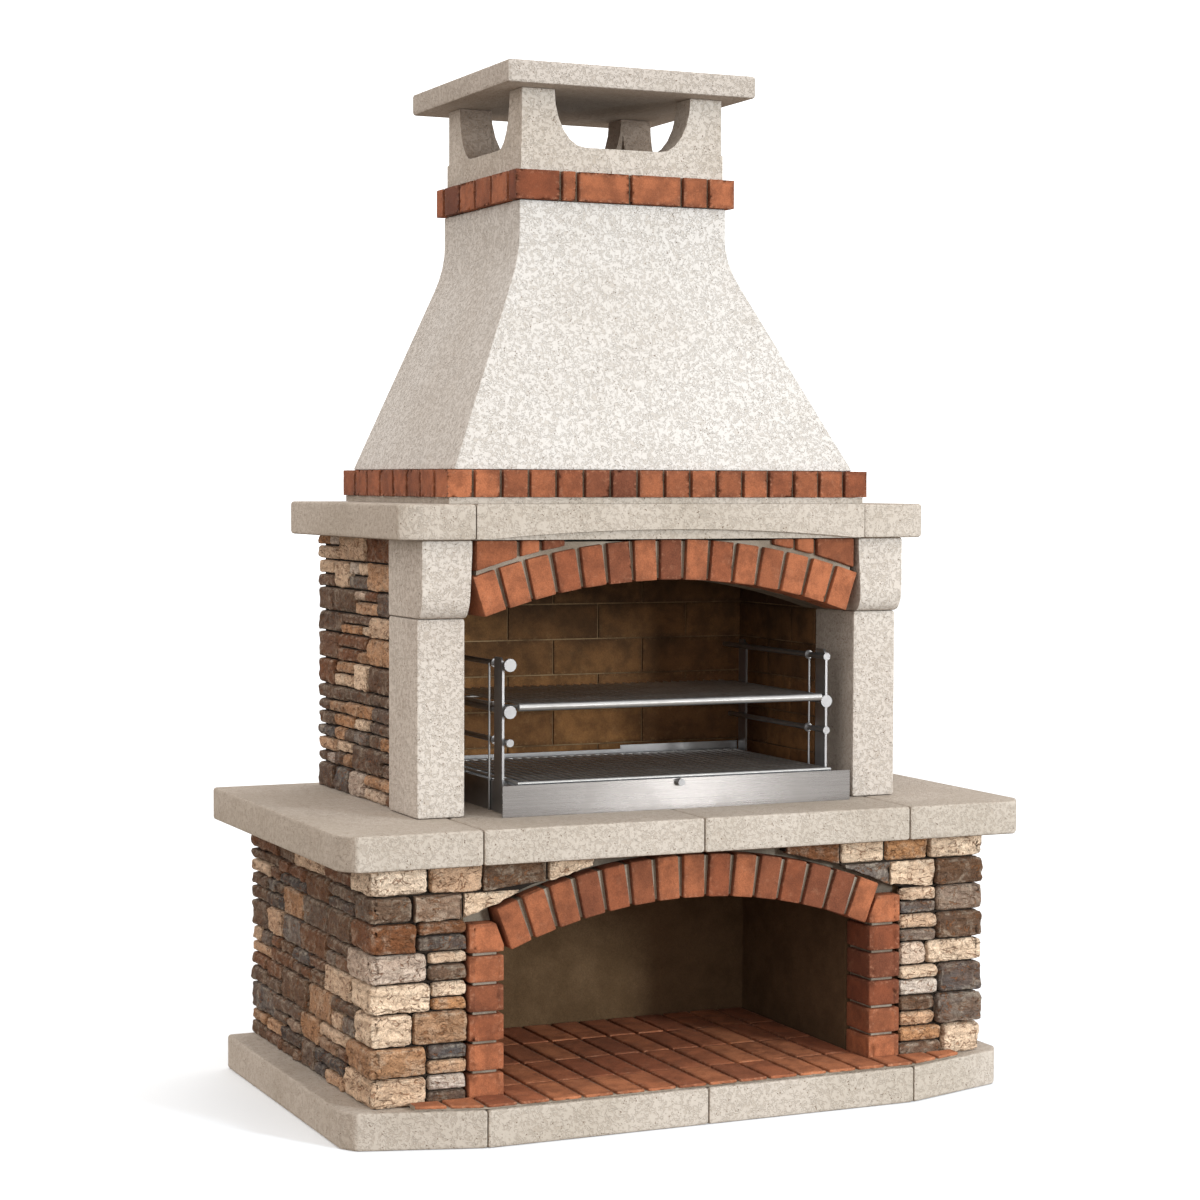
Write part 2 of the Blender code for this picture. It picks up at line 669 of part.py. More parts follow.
def lower_stones(arch):
    """Clad the lower storey: corner stones wrap the corner, and the rest fill each course."""
    for word, side, seed in (("left", -1, 11), ("right", 1, 23)):
        rng = random.Random(seed)
        courses = course_levels(BASE_HEIGHT, WORKTOP_UNDER, LOWER_COURSES, rng)
        face_x, core_x = side * LOWER_HALF, side * LOWER_CORE
        face_y, core_y = y_at(LOWER_DEPTH), y_at(LOWER_CORE_FRONT)
        recess = STONE_RECESS
        inner = PIER_OUTER + STONE_JOINT
        back = y_at(0)
        bed = [(core_x, back - recess), (face_x - side * recess, back - recess),
               (face_x - side * recess, face_y + recess), (side * (inner + recess), face_y + recess),
               (side * (inner + recess), core_y), (core_x, core_y)]
        bm = bmesh.new()
        add_prism(bm, bed, BASE_HEIGHT + recess, WORKTOP_UNDER - recess, "Z")
        wall = make("lower_stones_" + word, bm, "ledge_stone")
        bm = bmesh.new()
        depth = STONE_THICKNESS * (1 - STONE_ROOT)
        starts = []
        ends = []
        for low, high in courses:
            front_arm = rng.uniform(*QUOIN_FRONT_ARM)
            side_arm = rng.uniform(*QUOIN_SIDE_ARM)
            starts.append(face_y + side_arm + STONE_JOINT / 2)
            ends.append(LOWER_HALF - front_arm - STONE_JOINT)
            quoin = [(face_x, face_y), (face_x, face_y + side_arm),
                     (face_x - side * depth, face_y + side_arm),
                     (face_x - side * depth, face_y + depth),
                     (face_x - side * front_arm, face_y + depth),
                     (face_x - side * front_arm, face_y)]
            add_prism(bm, quoin, low, high, "Z")
            if low >= BASE_HEIGHT + PIER_HEIGHT:
                continue
            share = FRONT_SPLIT_SHARE
            for span, levels in thin_stones((inner, ends[-1]), (low, high), share, rng):
                proud = face_y + STONE_THICKNESS * rng.uniform(0, STONE_SETBACK)
                add_box(bm, [side * x for x in span], (proud, face_y + depth), levels)
        side_stones(bm, (core_x, face_x), (starts, back), courses, rng)
        combine(wall, "helper_stones_" + word, bm, "UNION")
        spandrel_stones(arch, wall, word, side, zip(courses, ends), rng)


def spandrel_stones(arch, wall, word, side, courses, rng):
    """Carry the front stones on over the arch, each cut to the arch's curve."""
    face_y, core_y = y_at(LOWER_DEPTH), y_at(LOWER_CORE_FRONT)
    reach = arch.outer + BRICK_JOINT
    foot = BASE_HEIGHT + PIER_HEIGHT + STONE_JOINT
    top = WORKTOP_UNDER - GAP
    near = LOWER_HALF - max(QUOIN_FRONT_ARM) - STONE_JOINT

    def under(x):
        return max(foot, arch.height(min(x, PIER_OUTER), reach))

    plate = [(near, top - STONE_RECESS), (SPANDREL_TIP, top - STONE_RECESS)]
    for step in range(SPANDREL_STEPS + 1):
        x = SPANDREL_TIP + (PIER_OUTER - SPANDREL_TIP) * step / SPANDREL_STEPS
        plate.append((x, under(x) + MORTAR_RECESS))
    plate.append((near, foot + MORTAR_RECESS))
    bm = bmesh.new()
    add_prism(bm, [(side * x, z) for x, z in plate], face_y + STONE_RECESS + BED_STEP,
              core_y - BED_STEP, "Y")
    combine(wall, "helper_spandrel_bed_" + word, bm, "UNION")
    bm = bmesh.new()
    for (low, high), stop in courses:
        if low < BASE_HEIGHT + PIER_HEIGHT:
            stop = PIER_OUTER
        rise = high - STONE_LEAST - arch.centre
        tip = max(SPANDREL_TIP, math.sqrt(max(reach * reach - rise * rise, 0.0)))
        if stop - tip < STONE_SHORTEST / 2:
            continue
        for start, end in run_of_stones(tip, stop, rng):
            proud = face_y + STONE_THICKNESS * rng.uniform(0, STONE_SETBACK)
            corners = [(start, max(low, under(start))), (end, max(low, under(end))),
                       (end, high), (start, high)]
            add_prism(bm, [(side * x, z) for x, z in corners], proud,
                      face_y + STONE_THICKNESS * (1 - STONE_ROOT), "Y")
    combine(wall, "helper_spandrel_" + word, bm, "UNION")


def worktop():
    """Make the worktop from four castings with cut corners."""
    front = y_at(LOWER_DEPTH + WORKTOP_FRONT_NOSE)
    back = y_at(-WORKTOP_BACK_NOSE)
    half = LOWER_HALF + WORKTOP_SIDE_NOSE
    for word, side in (("left", -1), ("right", 1)):
        middle = rectangle((side * GAP / 2, side * (BASE_SEAM_X - GAP / 2)), (front, back))
        slab("worktop_mid_" + word, middle, WORKTOP_UNDER, WORKTOP_TOP)
        inner = side * (BASE_SEAM_X + GAP / 2)
        end = [(inner, front), (side * (half - WORKTOP_CORNER_X), front),
               (side * half, front + WORKTOP_CORNER_Y), (side * half, back), (inner, back)]
        slab("worktop_" + word, end, WORKTOP_UNDER, WORKTOP_TOP)


def columns_and_corbels():
    """Make the two columns and the corbels on them, each corbel cut back for the lintel."""
    for word, side in (("left", -1), ("right", 1)):
        outline = rectangle((side * COLUMN_INNER, side * COLUMN_OUTER),
                            (y_at(COLUMN_FRONT), y_at(COLUMN_BACK)))
        slab("column_" + word, outline, WORKTOP_TOP + GAP, COLUMN_TOP)
        nose = y_at(COLUMN_FRONT + CORBEL_REACH)
        foot = y_at(COLUMN_FRONT)
        low = COLUMN_TOP + GAP
        profile = []
        for step in range(CURVE_STEPS + 1):
            angle = math.pi / 2 * step / CURVE_STEPS
            profile.append((foot + (nose - foot) * math.sin(angle),
                            low + CORBEL_CURVE * (1 - math.cos(angle))))
        high = MANTLE_UNDER - GAP
        profile += [(nose, high), (y_at(COLUMN_BACK), high), (y_at(COLUMN_BACK), low)]
        bm = bmesh.new()
        add_prism(bm, profile, side * (COLUMN_INNER - CORBEL_SPREAD), side * COLUMN_OUTER, "X")
        corbel = make("corbel_" + word, bm, "cast_stone")
        round_edges(corbel, FINE_EDGE)
        spare = CUTTER_SPARE
        rebate = rectangle((side * (COLUMN_INNER - spare), side * (COLUMN_INNER + LINTEL_BEARING)),
                           (y_at(COLUMN_BACK + LINTEL_DEPTH), y_at(COLUMN_BACK) + spare))
        cut(corbel, "cutter_lintel_seat_" + word, rebate, low - spare, high + spare, "Z")
        slant = [(side * (COLUMN_INNER - spare), low - spare),
                 (side * (COLUMN_INNER + CORBEL_SPREAD), low - spare),
                 (side * (COLUMN_INNER - CORBEL_SPREAD), high + spare / 10),
                 (side * (COLUMN_INNER - spare), high + spare / 10)]
        cut(corbel, "cutter_slant_" + word, slant, nose - spare,
            y_at(COLUMN_BACK + LINTEL_DEPTH) + spare / 5, "Y")


def upper_arch():
    """Make the upper arch, the bricks beside it and the lintel that they are bedded on."""
    arch = Arch(COLUMN_TOP + UPPER_ARCH_CROWN, UPPER_ARCH_RISE, UPPER_ARCH_HALF,
                UPPER_ARCH_BRICK)
    face = COLUMN_FRONT + CORBEL_REACH - UPPER_ARCH_SETBACK
    lintel_front = COLUMN_BACK + LINTEL_DEPTH
    low = COLUMN_TOP + GAP
    high = MANTLE_UNDER - GAP
    bearing = COLUMN_INNER + LINTEL_BEARING - GAP
    spring = math.acos((low - arch.centre) / arch.inner)
    outline = [(-bearing, low)]
    outline += arch.curve(arch.inner, -spring, spring)
    outline += [(bearing, low), (bearing, high), (-bearing, high)]
    bm = bmesh.new()
    add_prism(bm, outline, y_at(lintel_front) + GAP, y_at(COLUMN_BACK) - GAP, "Y")
    make("upper_lintel", bm, "core")
    edge = COLUMN_INNER - CORBEL_SPREAD - BRICK_JOINT
    top = MANTLE_UNDER - SPANDREL_TOP_JOINT
    bed = arch.curve(arch.inner + MORTAR_RECESS, -arch.last, arch.last)
    bed += [(edge - MORTAR_RECESS, arch.height(edge, arch.outer)),
            (edge - MORTAR_RECESS, top), (MORTAR_RECESS - edge, top),
            (MORTAR_RECESS - edge, arch.height(edge, arch.outer))]
    bm = bmesh.new()
    add_prism(bm, bed, y_at(face - MORTAR_RECESS), y_at(lintel_front) - GAP, "Y")
    bricks = make("upper_arch_bricks", bm, "red_brick")
    bm = bmesh.new()
    arch.add_bricks(bm, face, lintel_front + MORTAR_RECESS)
    reach = arch.outer + BRICK_JOINT
    for side in (-1, 1):
        outer = edge
        for inner in SPANDREL_SEAMS:
            outline = [(side * outer, top + MORTAR_RECESS), (side * inner, top + MORTAR_RECESS)]
            for step in range(SEAM_STEPS + 1):
                x = inner + (outer - inner) * step / SEAM_STEPS
                outline.append((side * x, min(arch.height(x, reach), top)))
            add_prism(bm, outline, y_at(face), y_at(lintel_front + MORTAR_RECESS), "Y")
            outer = inner - BRICK_JOINT
    combine(bricks, "helper_upper_arch", bm, "UNION")


def upper_walls():
    """Make the cores of the firebox walls."""
    low = WORKTOP_TOP + GAP
    high = MANTLE_UNDER - GAP
    for word, side in (("left", -1), ("right", 1)):
        bm = bmesh.new()
        add_box(bm, (side * (LINING_BACKING + GAP), side * (UPPER_CORE - GAP)),
                (y_at(COLUMN_BACK) + GAP, y_at(0)), (low, high))
        make("upper_side_wall_" + word, bm, "core")
    bm = bmesh.new()
    add_box(bm, (-LINING_BACKING, LINING_BACKING),
            (y_at(FIREBOX_BACK - LINING) + GAP, y_at(0)), (low, high))
    make("upper_back_wall", bm, "render")


def firebricks(name, start, end, place):
    """Line one wall with firebricks in running bond; place adds a box for a span and levels."""
    height = MANTLE_UNDER - WORKTOP_TOP
    course_height = height / FIREBRICK_COURSES
    bm = bmesh.new()
    place(bm, (start, end), (WORKTOP_TOP + GAP, MANTLE_UNDER - GAP), FIREBRICK_RECESS, LINING)
    wall = make(name, bm, "firebrick")
    bm = bmesh.new()
    for course in range(FIREBRICK_COURSES):
        low = WORKTOP_TOP + FIREBRICK_JOINT / 2 + course * course_height
        high = low + course_height - FIREBRICK_JOINT
        places = [start + FIREBRICK_JOINT]
        step = FIREBRICK_LENGTH if course % 2 else FIREBRICK_LENGTH / 2
        while places[-1] + step < end - FIREBRICK_LENGTH / 4:
            places.append(places[-1] + step)
            step = FIREBRICK_LENGTH
        places.append(end)
        for a, b in zip(places, places[1:]):
            place(bm, (a, b - FIREBRICK_JOINT), (low, high), 0.0, LINING / 2)
    combine(wall, "helper_" + name, bm, "UNION")


def firebox_lining():
    """Line the back and the two sides of the firebox."""
    back_face = y_at(FIREBOX_BACK)

    def on_back(bm, span, levels, near, far):
        add_box(bm, span, (back_face + near, back_face + far), levels)

    firebricks("firebrick_back", -LINING_BACKING, LINING_BACKING, on_back)
    for word, side in (("left", -1), ("right", 1)):

        def on_side(bm, span, levels, near, far, side=side):
            add_box(bm, (side * (COLUMN_INNER + near), side * (COLUMN_INNER + far)), span, levels)

        firebricks("firebrick_" + word, y_at(COLUMN_BACK) + GAP, back_face - GAP, on_side)


def upper_stones():
    """Clad the sides of the firebox."""
    for word, side, seed in (("left", -1, 5), ("right", 1, 37)):
        rng = random.Random(seed)
        courses = course_levels(WORKTOP_TOP, MANTLE_UNDER, UPPER_COURSES, rng)
        start, back = y_at(COLUMN_BACK), y_at(0)
        bm = bmesh.new()
        add_box(bm, (side * UPPER_CORE, side * (UPPER_FACE - STONE_RECESS)),
                (start + STONE_RECESS, back - STONE_RECESS),
                (WORKTOP_TOP + STONE_RECESS, MANTLE_UNDER - STONE_RECESS))
        wall = make("upper_stones_" + word, bm, "ledge_stone")
        bm = bmesh.new()
        side_stones(bm, (side * UPPER_CORE, side * UPPER_FACE),
                    ([start] * UPPER_COURSES, back), courses, rng)
        combine(wall, "helper_upper_stones_" + word, bm, "UNION")


def mantle():
    """Make the mantle from three castings; the middle one has an arched relief and a hole."""
    front = y_at(COLUMN_FRONT + MANTLE_FRONT_NOSE)
    back = y_at(0)
    half = COLUMN_OUTER + MANTLE_SIDE_NOSE
    for word, side in (("left", -1), ("right", 1)):
        inner = side * (MANTLE_SEAM_X + GAP)
        end = [(inner, front), (side * (half - MANTLE_CORNER_X), front),
               (side * half, front + MANTLE_CORNER_Y), (side * half, back), (inner, back)]
        slab("mantle_" + word, end, MANTLE_UNDER, MANTLE_TOP)
    bm = bmesh.new()
    recess = front + MANTLE_RELIEF_DEPTH
    sections = []
    relief_edge = min(MANTLE_RELIEF_HALF, MANTLE_SEAM_X - GAP)
    stations = [-MANTLE_SEAM_X]
    for step in range(ARCH_STEPS + 1):
        stations.append(-relief_edge + 2 * relief_edge * step / ARCH_STEPS)
    stations.append(MANTLE_SEAM_X)
    for x in stations:
        share = max(0.0, 1 - (x / relief_edge) ** 2)
        edge = MANTLE_UNDER + MANTLE_RELIEF_END
        edge += (MANTLE_RELIEF_RISE - MANTLE_RELIEF_END) * share
        section = [(front, edge), (front, MANTLE_TOP), (back, MANTLE_TOP),
                   (back, MANTLE_UNDER), (recess, MANTLE_UNDER), (recess, edge)]
        sections.append([bm.verts.new((x, y, z)) for y, z in section])
    for first, second in zip(sections, sections[1:]):
        count = len(first)
        for index in range(count):
            ahead = (index + 1) % count
            bm.faces.new((first[index], first[ahead], second[ahead], second[index]))
    bm.faces.new(sections[0])
    bm.faces.new(list(reversed(sections[-1])))
    middle = make("mantle_centre", bm, "cast_stone")
    hole = rectangle((-SMOKE_HOLE_HALF, SMOKE_HOLE_HALF),
                     (y_at(SMOKE_HOLE_FRONT), y_at(SMOKE_HOLE_BACK)))
    cut(middle, "cutter_smoke_hole", hole, MANTLE_UNDER - CUTTER_SPARE,
        MANTLE_TOP + CUTTER_SPARE, "Z")


def hood_base():
    """Make the collar under the hood: a thin ledge that carries the brick band."""
    bm = bmesh.new()
    ledge_half = TRIM_HALF - LEDGE_INSET
    collar_half = TRIM_HALF - TRIM_BRICK_DEPTH - GAP
    collar_front = TRIM_FRONT - TRIM_FRONT_DEPTH - GAP
    back = y_at(HOOD_BACK)
    inner_half = collar_half - HOOD_WALL
    inner_front = collar_front - HOOD_WALL
    inner_back = y_at(HOOD_BACK + HOOD_WALL)
    rings = []
    for half, front, rear, z in (
            (ledge_half, TRIM_FRONT - LEDGE_INSET, back, MANTLE_TOP + GAP),
            (ledge_half, TRIM_FRONT - LEDGE_INSET, back, LEDGE_TOP),
            (collar_half, collar_front, back, LEDGE_TOP),
            (collar_half, collar_front, back, HOOD_FOOT - GAP),
            (inner_half, inner_front, inner_back, HOOD_FOOT - GAP),
            (inner_half, inner_front, inner_back, MANTLE_TOP + GAP)):
        corners = rectangle((-half, half), (y_at(front), rear))
        rings.append([bm.verts.new((x, y, z)) for x, y in corners])
    join_rings(bm, rings)
    make("hood_base", bm, "cast_stone")


def join_rings(bm, rings):
    """Join rings of equal count in a closed cycle."""
    for index, ring in enumerate(rings):
        follow = rings[(index + 1) % len(rings)]
        count = len(ring)
        for step in range(count):
            ahead = (step + 1) % count
            bm.faces.new((ring[step], ring[ahead], follow[ahead], follow[step]))


def brick_row(bm, start, end, count, place):
    """Lay a row of equal bricks between two positions, with a joint after each."""
    pitch = (end - start + BRICK_JOINT) / count
    for index in range(count):
        low = start + index * pitch
        place(bm, (low, low + pitch - BRICK_JOINT))


def hood_trim():
    """Lay the brick band round the front and sides of the hood's foot."""
    levels = (LEDGE_TOP + GAP, HOOD_FOOT - GAP)
    front, back = y_at(TRIM_FRONT), y_at(HOOD_BACK)
    half = TRIM_HALF - MORTAR_RECESS
    inner = TRIM_HALF - TRIM_BRICK_DEPTH
    inner_front = front + TRIM_FRONT_DEPTH
    bed = [(-half, front + MORTAR_RECESS), (half, front + MORTAR_RECESS),
           (half, back - MORTAR_RECESS), (inner, back - MORTAR_RECESS), (inner, inner_front),
           (-inner, inner_front), (-inner, back - MORTAR_RECESS), (-half, back - MORTAR_RECESS)]
    bm = bmesh.new()
    add_prism(bm, bed, levels[0] + GAP, levels[1] - GAP, "Z")
    band = make("hood_trim_bricks", bm, "red_brick")
    bm = bmesh.new()

    def on_front(bm, span):
        add_box(bm, span, (front, inner_front - MORTAR_RECESS), levels)

    brick_row(bm, -TRIM_HALF, TRIM_HALF, TRIM_FRONT_BRICKS, on_front)
    for side in (-1, 1):

        def on_side(bm, span, side=side):
            add_box(bm, (side * (inner + MORTAR_RECESS), side * TRIM_HALF), span, levels)

        brick_row(bm, inner_front + BRICK_JOINT, back, TRIM_SIDE_BRICKS - 1, on_side)
    combine(band, "helper_hood_trim", bm, "UNION")


def hood_share(rise):
    """Give the part of the taper left at a height: a straight slope, eased into the neck."""
    slope = 1 / HOOD_KNEE
    if rise <= HOOD_KNEE - HOOD_KNEE_BLEND:
        return slope * (HOOD_KNEE - rise)
    if rise >= HOOD_KNEE + HOOD_KNEE_BLEND:
        return 0.0
    return slope / (4 * HOOD_KNEE_BLEND) * (HOOD_KNEE + HOOD_KNEE_BLEND - rise) ** 2


def hood():
    """Make the hollow hood: a pyramid with an upright back that eases into a neck."""
    rises = [0.0]
    for step in range(HOOD_STEPS + 1):
        rises.append(HOOD_KNEE - HOOD_KNEE_BLEND + 2 * HOOD_KNEE_BLEND * step / HOOD_STEPS)
    rises.append(HOOD_HEIGHT)
    rings = []
    for inset, order in ((0.0, rises), (HOOD_WALL, list(reversed(rises)))):
        for rise in order:
            share = hood_share(rise)
            half = NECK_HALF + (HOOD_HALF - NECK_HALF) * share - inset
            front = NECK_FRONT + (HOOD_FRONT - NECK_FRONT) * share - inset
            corners = rectangle((-half, half), (y_at(front), y_at(HOOD_BACK + inset)))
            rings.append([(x, y, HOOD_FOOT + rise) for x, y in corners])
    bm = bmesh.new()
    join_rings(bm, [[bm.verts.new(place) for place in ring] for ring in rings])
    round_edges(make("hood", bm, "cast_stone"), FINE_EDGE)


def add_ring(bm, half, front, back, wall, low, high):
    """Add a rectangular ring between two levels."""
    rings = []
    for inset, z in ((0.0, low), (0.0, high), (wall, high), (wall, low)):
        corners = rectangle((-half + inset, half - inset),
                            (y_at(front - inset), y_at(back + inset)))
        rings.append([bm.verts.new((x, y, z)) for x, y in corners])
    join_rings(bm, rings)


def neck_trim():
    """Lay the brick band round the neck."""
    half = NECK_HALF + NECK_TRIM_NOSE
    front = NECK_FRONT + NECK_TRIM_NOSE
    back = HOOD_BACK - NECK_TRIM_NOSE
    levels = (HOOD_TOP + GAP, BAND_FOOT - GAP)
    recess = MORTAR_RECESS
    bm = bmesh.new()
    add_ring(bm, half - recess, front - recess, back + recess, NECK_TRIM_DEPTH - recess,
             levels[0] + GAP, levels[1] - GAP)
    band = make("neck_trim_bricks", bm, "red_brick")
    bm = bmesh.new()
    joints = len(NECK_TRIM_RUN) - 1
    scale = (2 * half - joints * BRICK_JOINT) / sum(NECK_TRIM_RUN)
    depth = NECK_TRIM_DEPTH - recess
    for y_span in ((y_at(front), y_at(front - depth)), (y_at(back + depth), y_at(back))):
        place = -half
        for length in NECK_TRIM_RUN:
            add_box(bm, (place, place + length * scale), y_span, levels)
            place += length * scale + BRICK_JOINT
    for side in (-1, 1):

        def on_side(bm, span, side=side):
            add_box(bm, (side * (half - depth), side * half), span, levels)

        start = y_at(front - NECK_TRIM_DEPTH) + BRICK_JOINT
        end = y_at(back + NECK_TRIM_DEPTH) - BRICK_JOINT
        brick_row(bm, start, end, NECK_TRIM_SIDE_BRICKS - 2, on_side)
    combine(band, "helper_neck_trim", bm, "UNION")


def cowl():
    """Make the cowl, a band with four posts that flare at the foot, and the cap slab."""
    bm = bmesh.new()
    add_ring(bm, COWL_HALF, COWL_FRONT, COWL_BACK, COWL_WALL, BAND_FOOT, BAND_TOP)
    band = make("cowl", bm, "cast_stone")
    bm = bmesh.new()
    inset = COWL_POST_INSET
    low, high = BAND_TOP, CAP_UNDER - GAP
    add_ring(bm, COWL_HALF - inset, COWL_FRONT - inset, COWL_BACK + inset,
             COWL_WALL - 2 * inset, low - COWL_POST_ROOT, high)
    posts = combine(band, "helper_cowl_posts", bm, "UNION")
    mouth = []
    for step in range(CURVE_STEPS + 1):
        angle = math.pi / 2 * step / CURVE_STEPS
        mouth.append((COWL_SILL_HALF + (COWL_MOUTH_HALF - COWL_SILL_HALF) * math.sin(angle),
                      low + (high - low) * (1 - math.cos(angle))))
    right = [(COWL_SILL_HALF, low - CUTTER_SPARE)] + mouth
    right.append((COWL_MOUTH_HALF, high + CUTTER_SPARE))
    outline = right + [(-a, b) for a, b in reversed(right)]
    cut(posts, "cutter_cowl_front", outline, y_at(COWL_FRONT) - CUTTER_SPARE,
        y_at(COWL_BACK) + CUTTER_SPARE, "Y")
    centre = y_at((COWL_FRONT + COWL_BACK) / 2)
    depth_share = (COWL_FRONT - COWL_BACK) / (2 * COWL_HALF)
    side_outline = [(centre + a * depth_share, b) for a, b in outline]
    cut(posts, "cutter_cowl_side", side_outline, -COWL_HALF - CUTTER_SPARE,
        COWL_HALF + CUTTER_SPARE, "X")
    round_edges(band, COWL_POST_INSET)
    plan = rectangle((-COWL_HALF - CAP_NOSE, COWL_HALF + CAP_NOSE),
                     (y_at(COWL_FRONT + CAP_FRONT_NOSE), y_at(COWL_BACK - CAP_BACK_NOSE)))
    slab("cap_slab", plan, CAP_UNDER, CAP_TOP)


def across(x):
    """Turn a distance from the grill set's middle into an X position."""
    return GRILL_CENTRE + x


def ember_tray(parent):
    """Make the open tray with its front plate, catch and back rim."""
    bm = bmesh.new()
    low = WORKTOP_TOP + GAP
    high = low + TRAY_HEIGHT
    front, back = y_at(TRAY_FRONT), y_at(TRAY_BACK)
    add_box(bm, (across(-TRAY_HALF), across(TRAY_HALF)), (front, back), (low, high))
    bmesh.ops.recalc_face_normals(bm, faces=bm.faces)
    top = max(bm.faces, key=lambda face: face.calc_center_median().z)
    bmesh.ops.inset_region(bm, faces=[top], thickness=TRAY_SHEET)
    grown = bmesh.ops.extrude_face_region(bm, geom=[top])["geom"]
    floor = [item for item in grown if isinstance(item, bmesh.types.BMVert)]
    bmesh.ops.delete(bm, geom=[top], context="FACES_ONLY")
    bmesh.ops.translate(bm, vec=(0, 0, TRAY_SHEET - TRAY_HEIGHT), verts=floor)
    make("ember_tray", bm, "steel", parent)
    bm = bmesh.new()
    plate_back = front - GAP
    add_box(bm, (across(-FASCIA_HALF), across(FASCIA_HALF)),
            (plate_back - FASCIA_SHEET, plate_back), (low, low + FASCIA_HEIGHT))
    make("tray_fascia", bm, "steel", parent)
    bm = bmesh.new()
    face = plate_back - FASCIA_SHEET - GAP
    height = low + FASCIA_HEIGHT - CATCH_RADIUS
    add_rod(bm, (across(CATCH_X), face, height), (across(CATCH_X), face - CATCH_LENGTH, height),
            CATCH_RADIUS, TUBE_SIDES)
    make("tray_catch", bm, "steel", parent, smooth=True)
    bm = bmesh.new()
    inner = TRAY_HALF
    step_x = across(BACK_RIM_STEP_X)
    outline = [(across(-inner), low), (across(inner), low),
               (across(inner), high + BACK_RIM_RISE), (step_x, high + BACK_RIM_RISE),
               (step_x, high + BACK_RIM_LOW_RISE), (across(-inner), high + BACK_RIM_LOW_RISE)]
    add_prism(bm, outline, back + GAP, back + GAP + TRAY_SHEET, "Y")
    make("tray_back_rim", bm, "steel", parent)


def uprights(parent):
    """Make the four flat uprights, which stand against the outside of the tray."""
    low = WORKTOP_TOP + GAP
    high = WORKTOP_TOP + UPRIGHT_TOP
    for place, edge, width in (("front", FRONT_UPRIGHT_AT, FRONT_UPRIGHT_WIDTH),
                               ("back", BACK_UPRIGHT_AT, BACK_UPRIGHT_WIDTH)):
        fore, rear = y_at(edge), y_at(edge - width)
        outline = [(fore, low), (rear, low), (rear, high), (fore + UPRIGHT_CHAMFER, high),
                   (fore, high - UPRIGHT_CHAMFER)]
        for word, side in (("left", -1), ("right", 1)):
            bm = bmesh.new()
            add_prism(bm, outline, across(side * UPRIGHT_INNER),
                      across(side * (UPRIGHT_INNER + UPRIGHT_SHEET)), "X")
            make("upright_" + place + "_" + word, bm, "steel", parent)


def add_turned(bm, x, z, profile, sides=TUBE_SIDES):
    """Add a turned solid on a line along Y, from a list of positions and radii."""
    rings = []
    for y, radius in profile:
        ring = []
        for step in range(sides):
            angle = 2 * math.pi * step / sides
            ring.append(bm.verts.new((x + radius * math.cos(angle), y,
                                      z + radius * math.sin(angle))))
        rings.append(ring)
    for first, second in zip(rings, rings[1:]):
        for step in range(sides):
            ahead = (step + 1) % sides
            bm.faces.new((first[step], first[ahead], second[ahead], second[step]))
    bm.faces.new(rings[0])
    bm.faces.new(list(reversed(rings[-1])))


def rails(parent):
    """Make three rails a side, inside the uprights, and the tie rod beside them."""
    fore = y_at(FRONT_UPRIGHT_AT + RAIL_NOSE)
    collar = y_at(FRONT_UPRIGHT_AT - FRONT_UPRIGHT_WIDTH - COLLAR_STEP)
    tie_y = y_at(FRONT_UPRIGHT_AT - FRONT_UPRIGHT_WIDTH - TIE_ROD_BEHIND)
    tie_x = RAIL_X + RAIL_RADIUS + GAP + TIE_ROD_RADIUS
    big, small = CAP_DISC_RADIUS, SMALL_DISC_RADIUS
    levels = ("low", "middle", "top")
    for word, side, discs in (("left", -1, (small, big, big)), ("right", 1, (small, big, small))):
        x = across(side * RAIL_X)
        for level, rise, rear, disc in zip(levels, RAIL_HEIGHTS, RAIL_BACKS, discs):
            profile = [(fore - CAP_DISC_LENGTH, disc), (fore, disc), (fore, RAIL_RADIUS)]
            if level != "middle":
                profile += [(collar, RAIL_RADIUS), (collar, COLLAR_RADIUS),
                            (collar + COLLAR_LENGTH, COLLAR_RADIUS),
                            (collar + COLLAR_LENGTH, RAIL_RADIUS)]
            profile.append((y_at(rear), RAIL_RADIUS))
            bm = bmesh.new()
            add_turned(bm, x, WORKTOP_TOP + rise, profile)
            make("rail_" + level + "_" + word, bm, "steel", parent, smooth=True)
        bm = bmesh.new()
        tie = across(side * tie_x)
        add_rod(bm, (tie, tie_y, WORKTOP_TOP + GAP), (tie, tie_y, WORKTOP_TOP + RAIL_HEIGHTS[2]),
                TIE_ROD_RADIUS, BAR_SIDES)
        make("tie_rod_" + word, bm, "steel", parent, smooth=True)


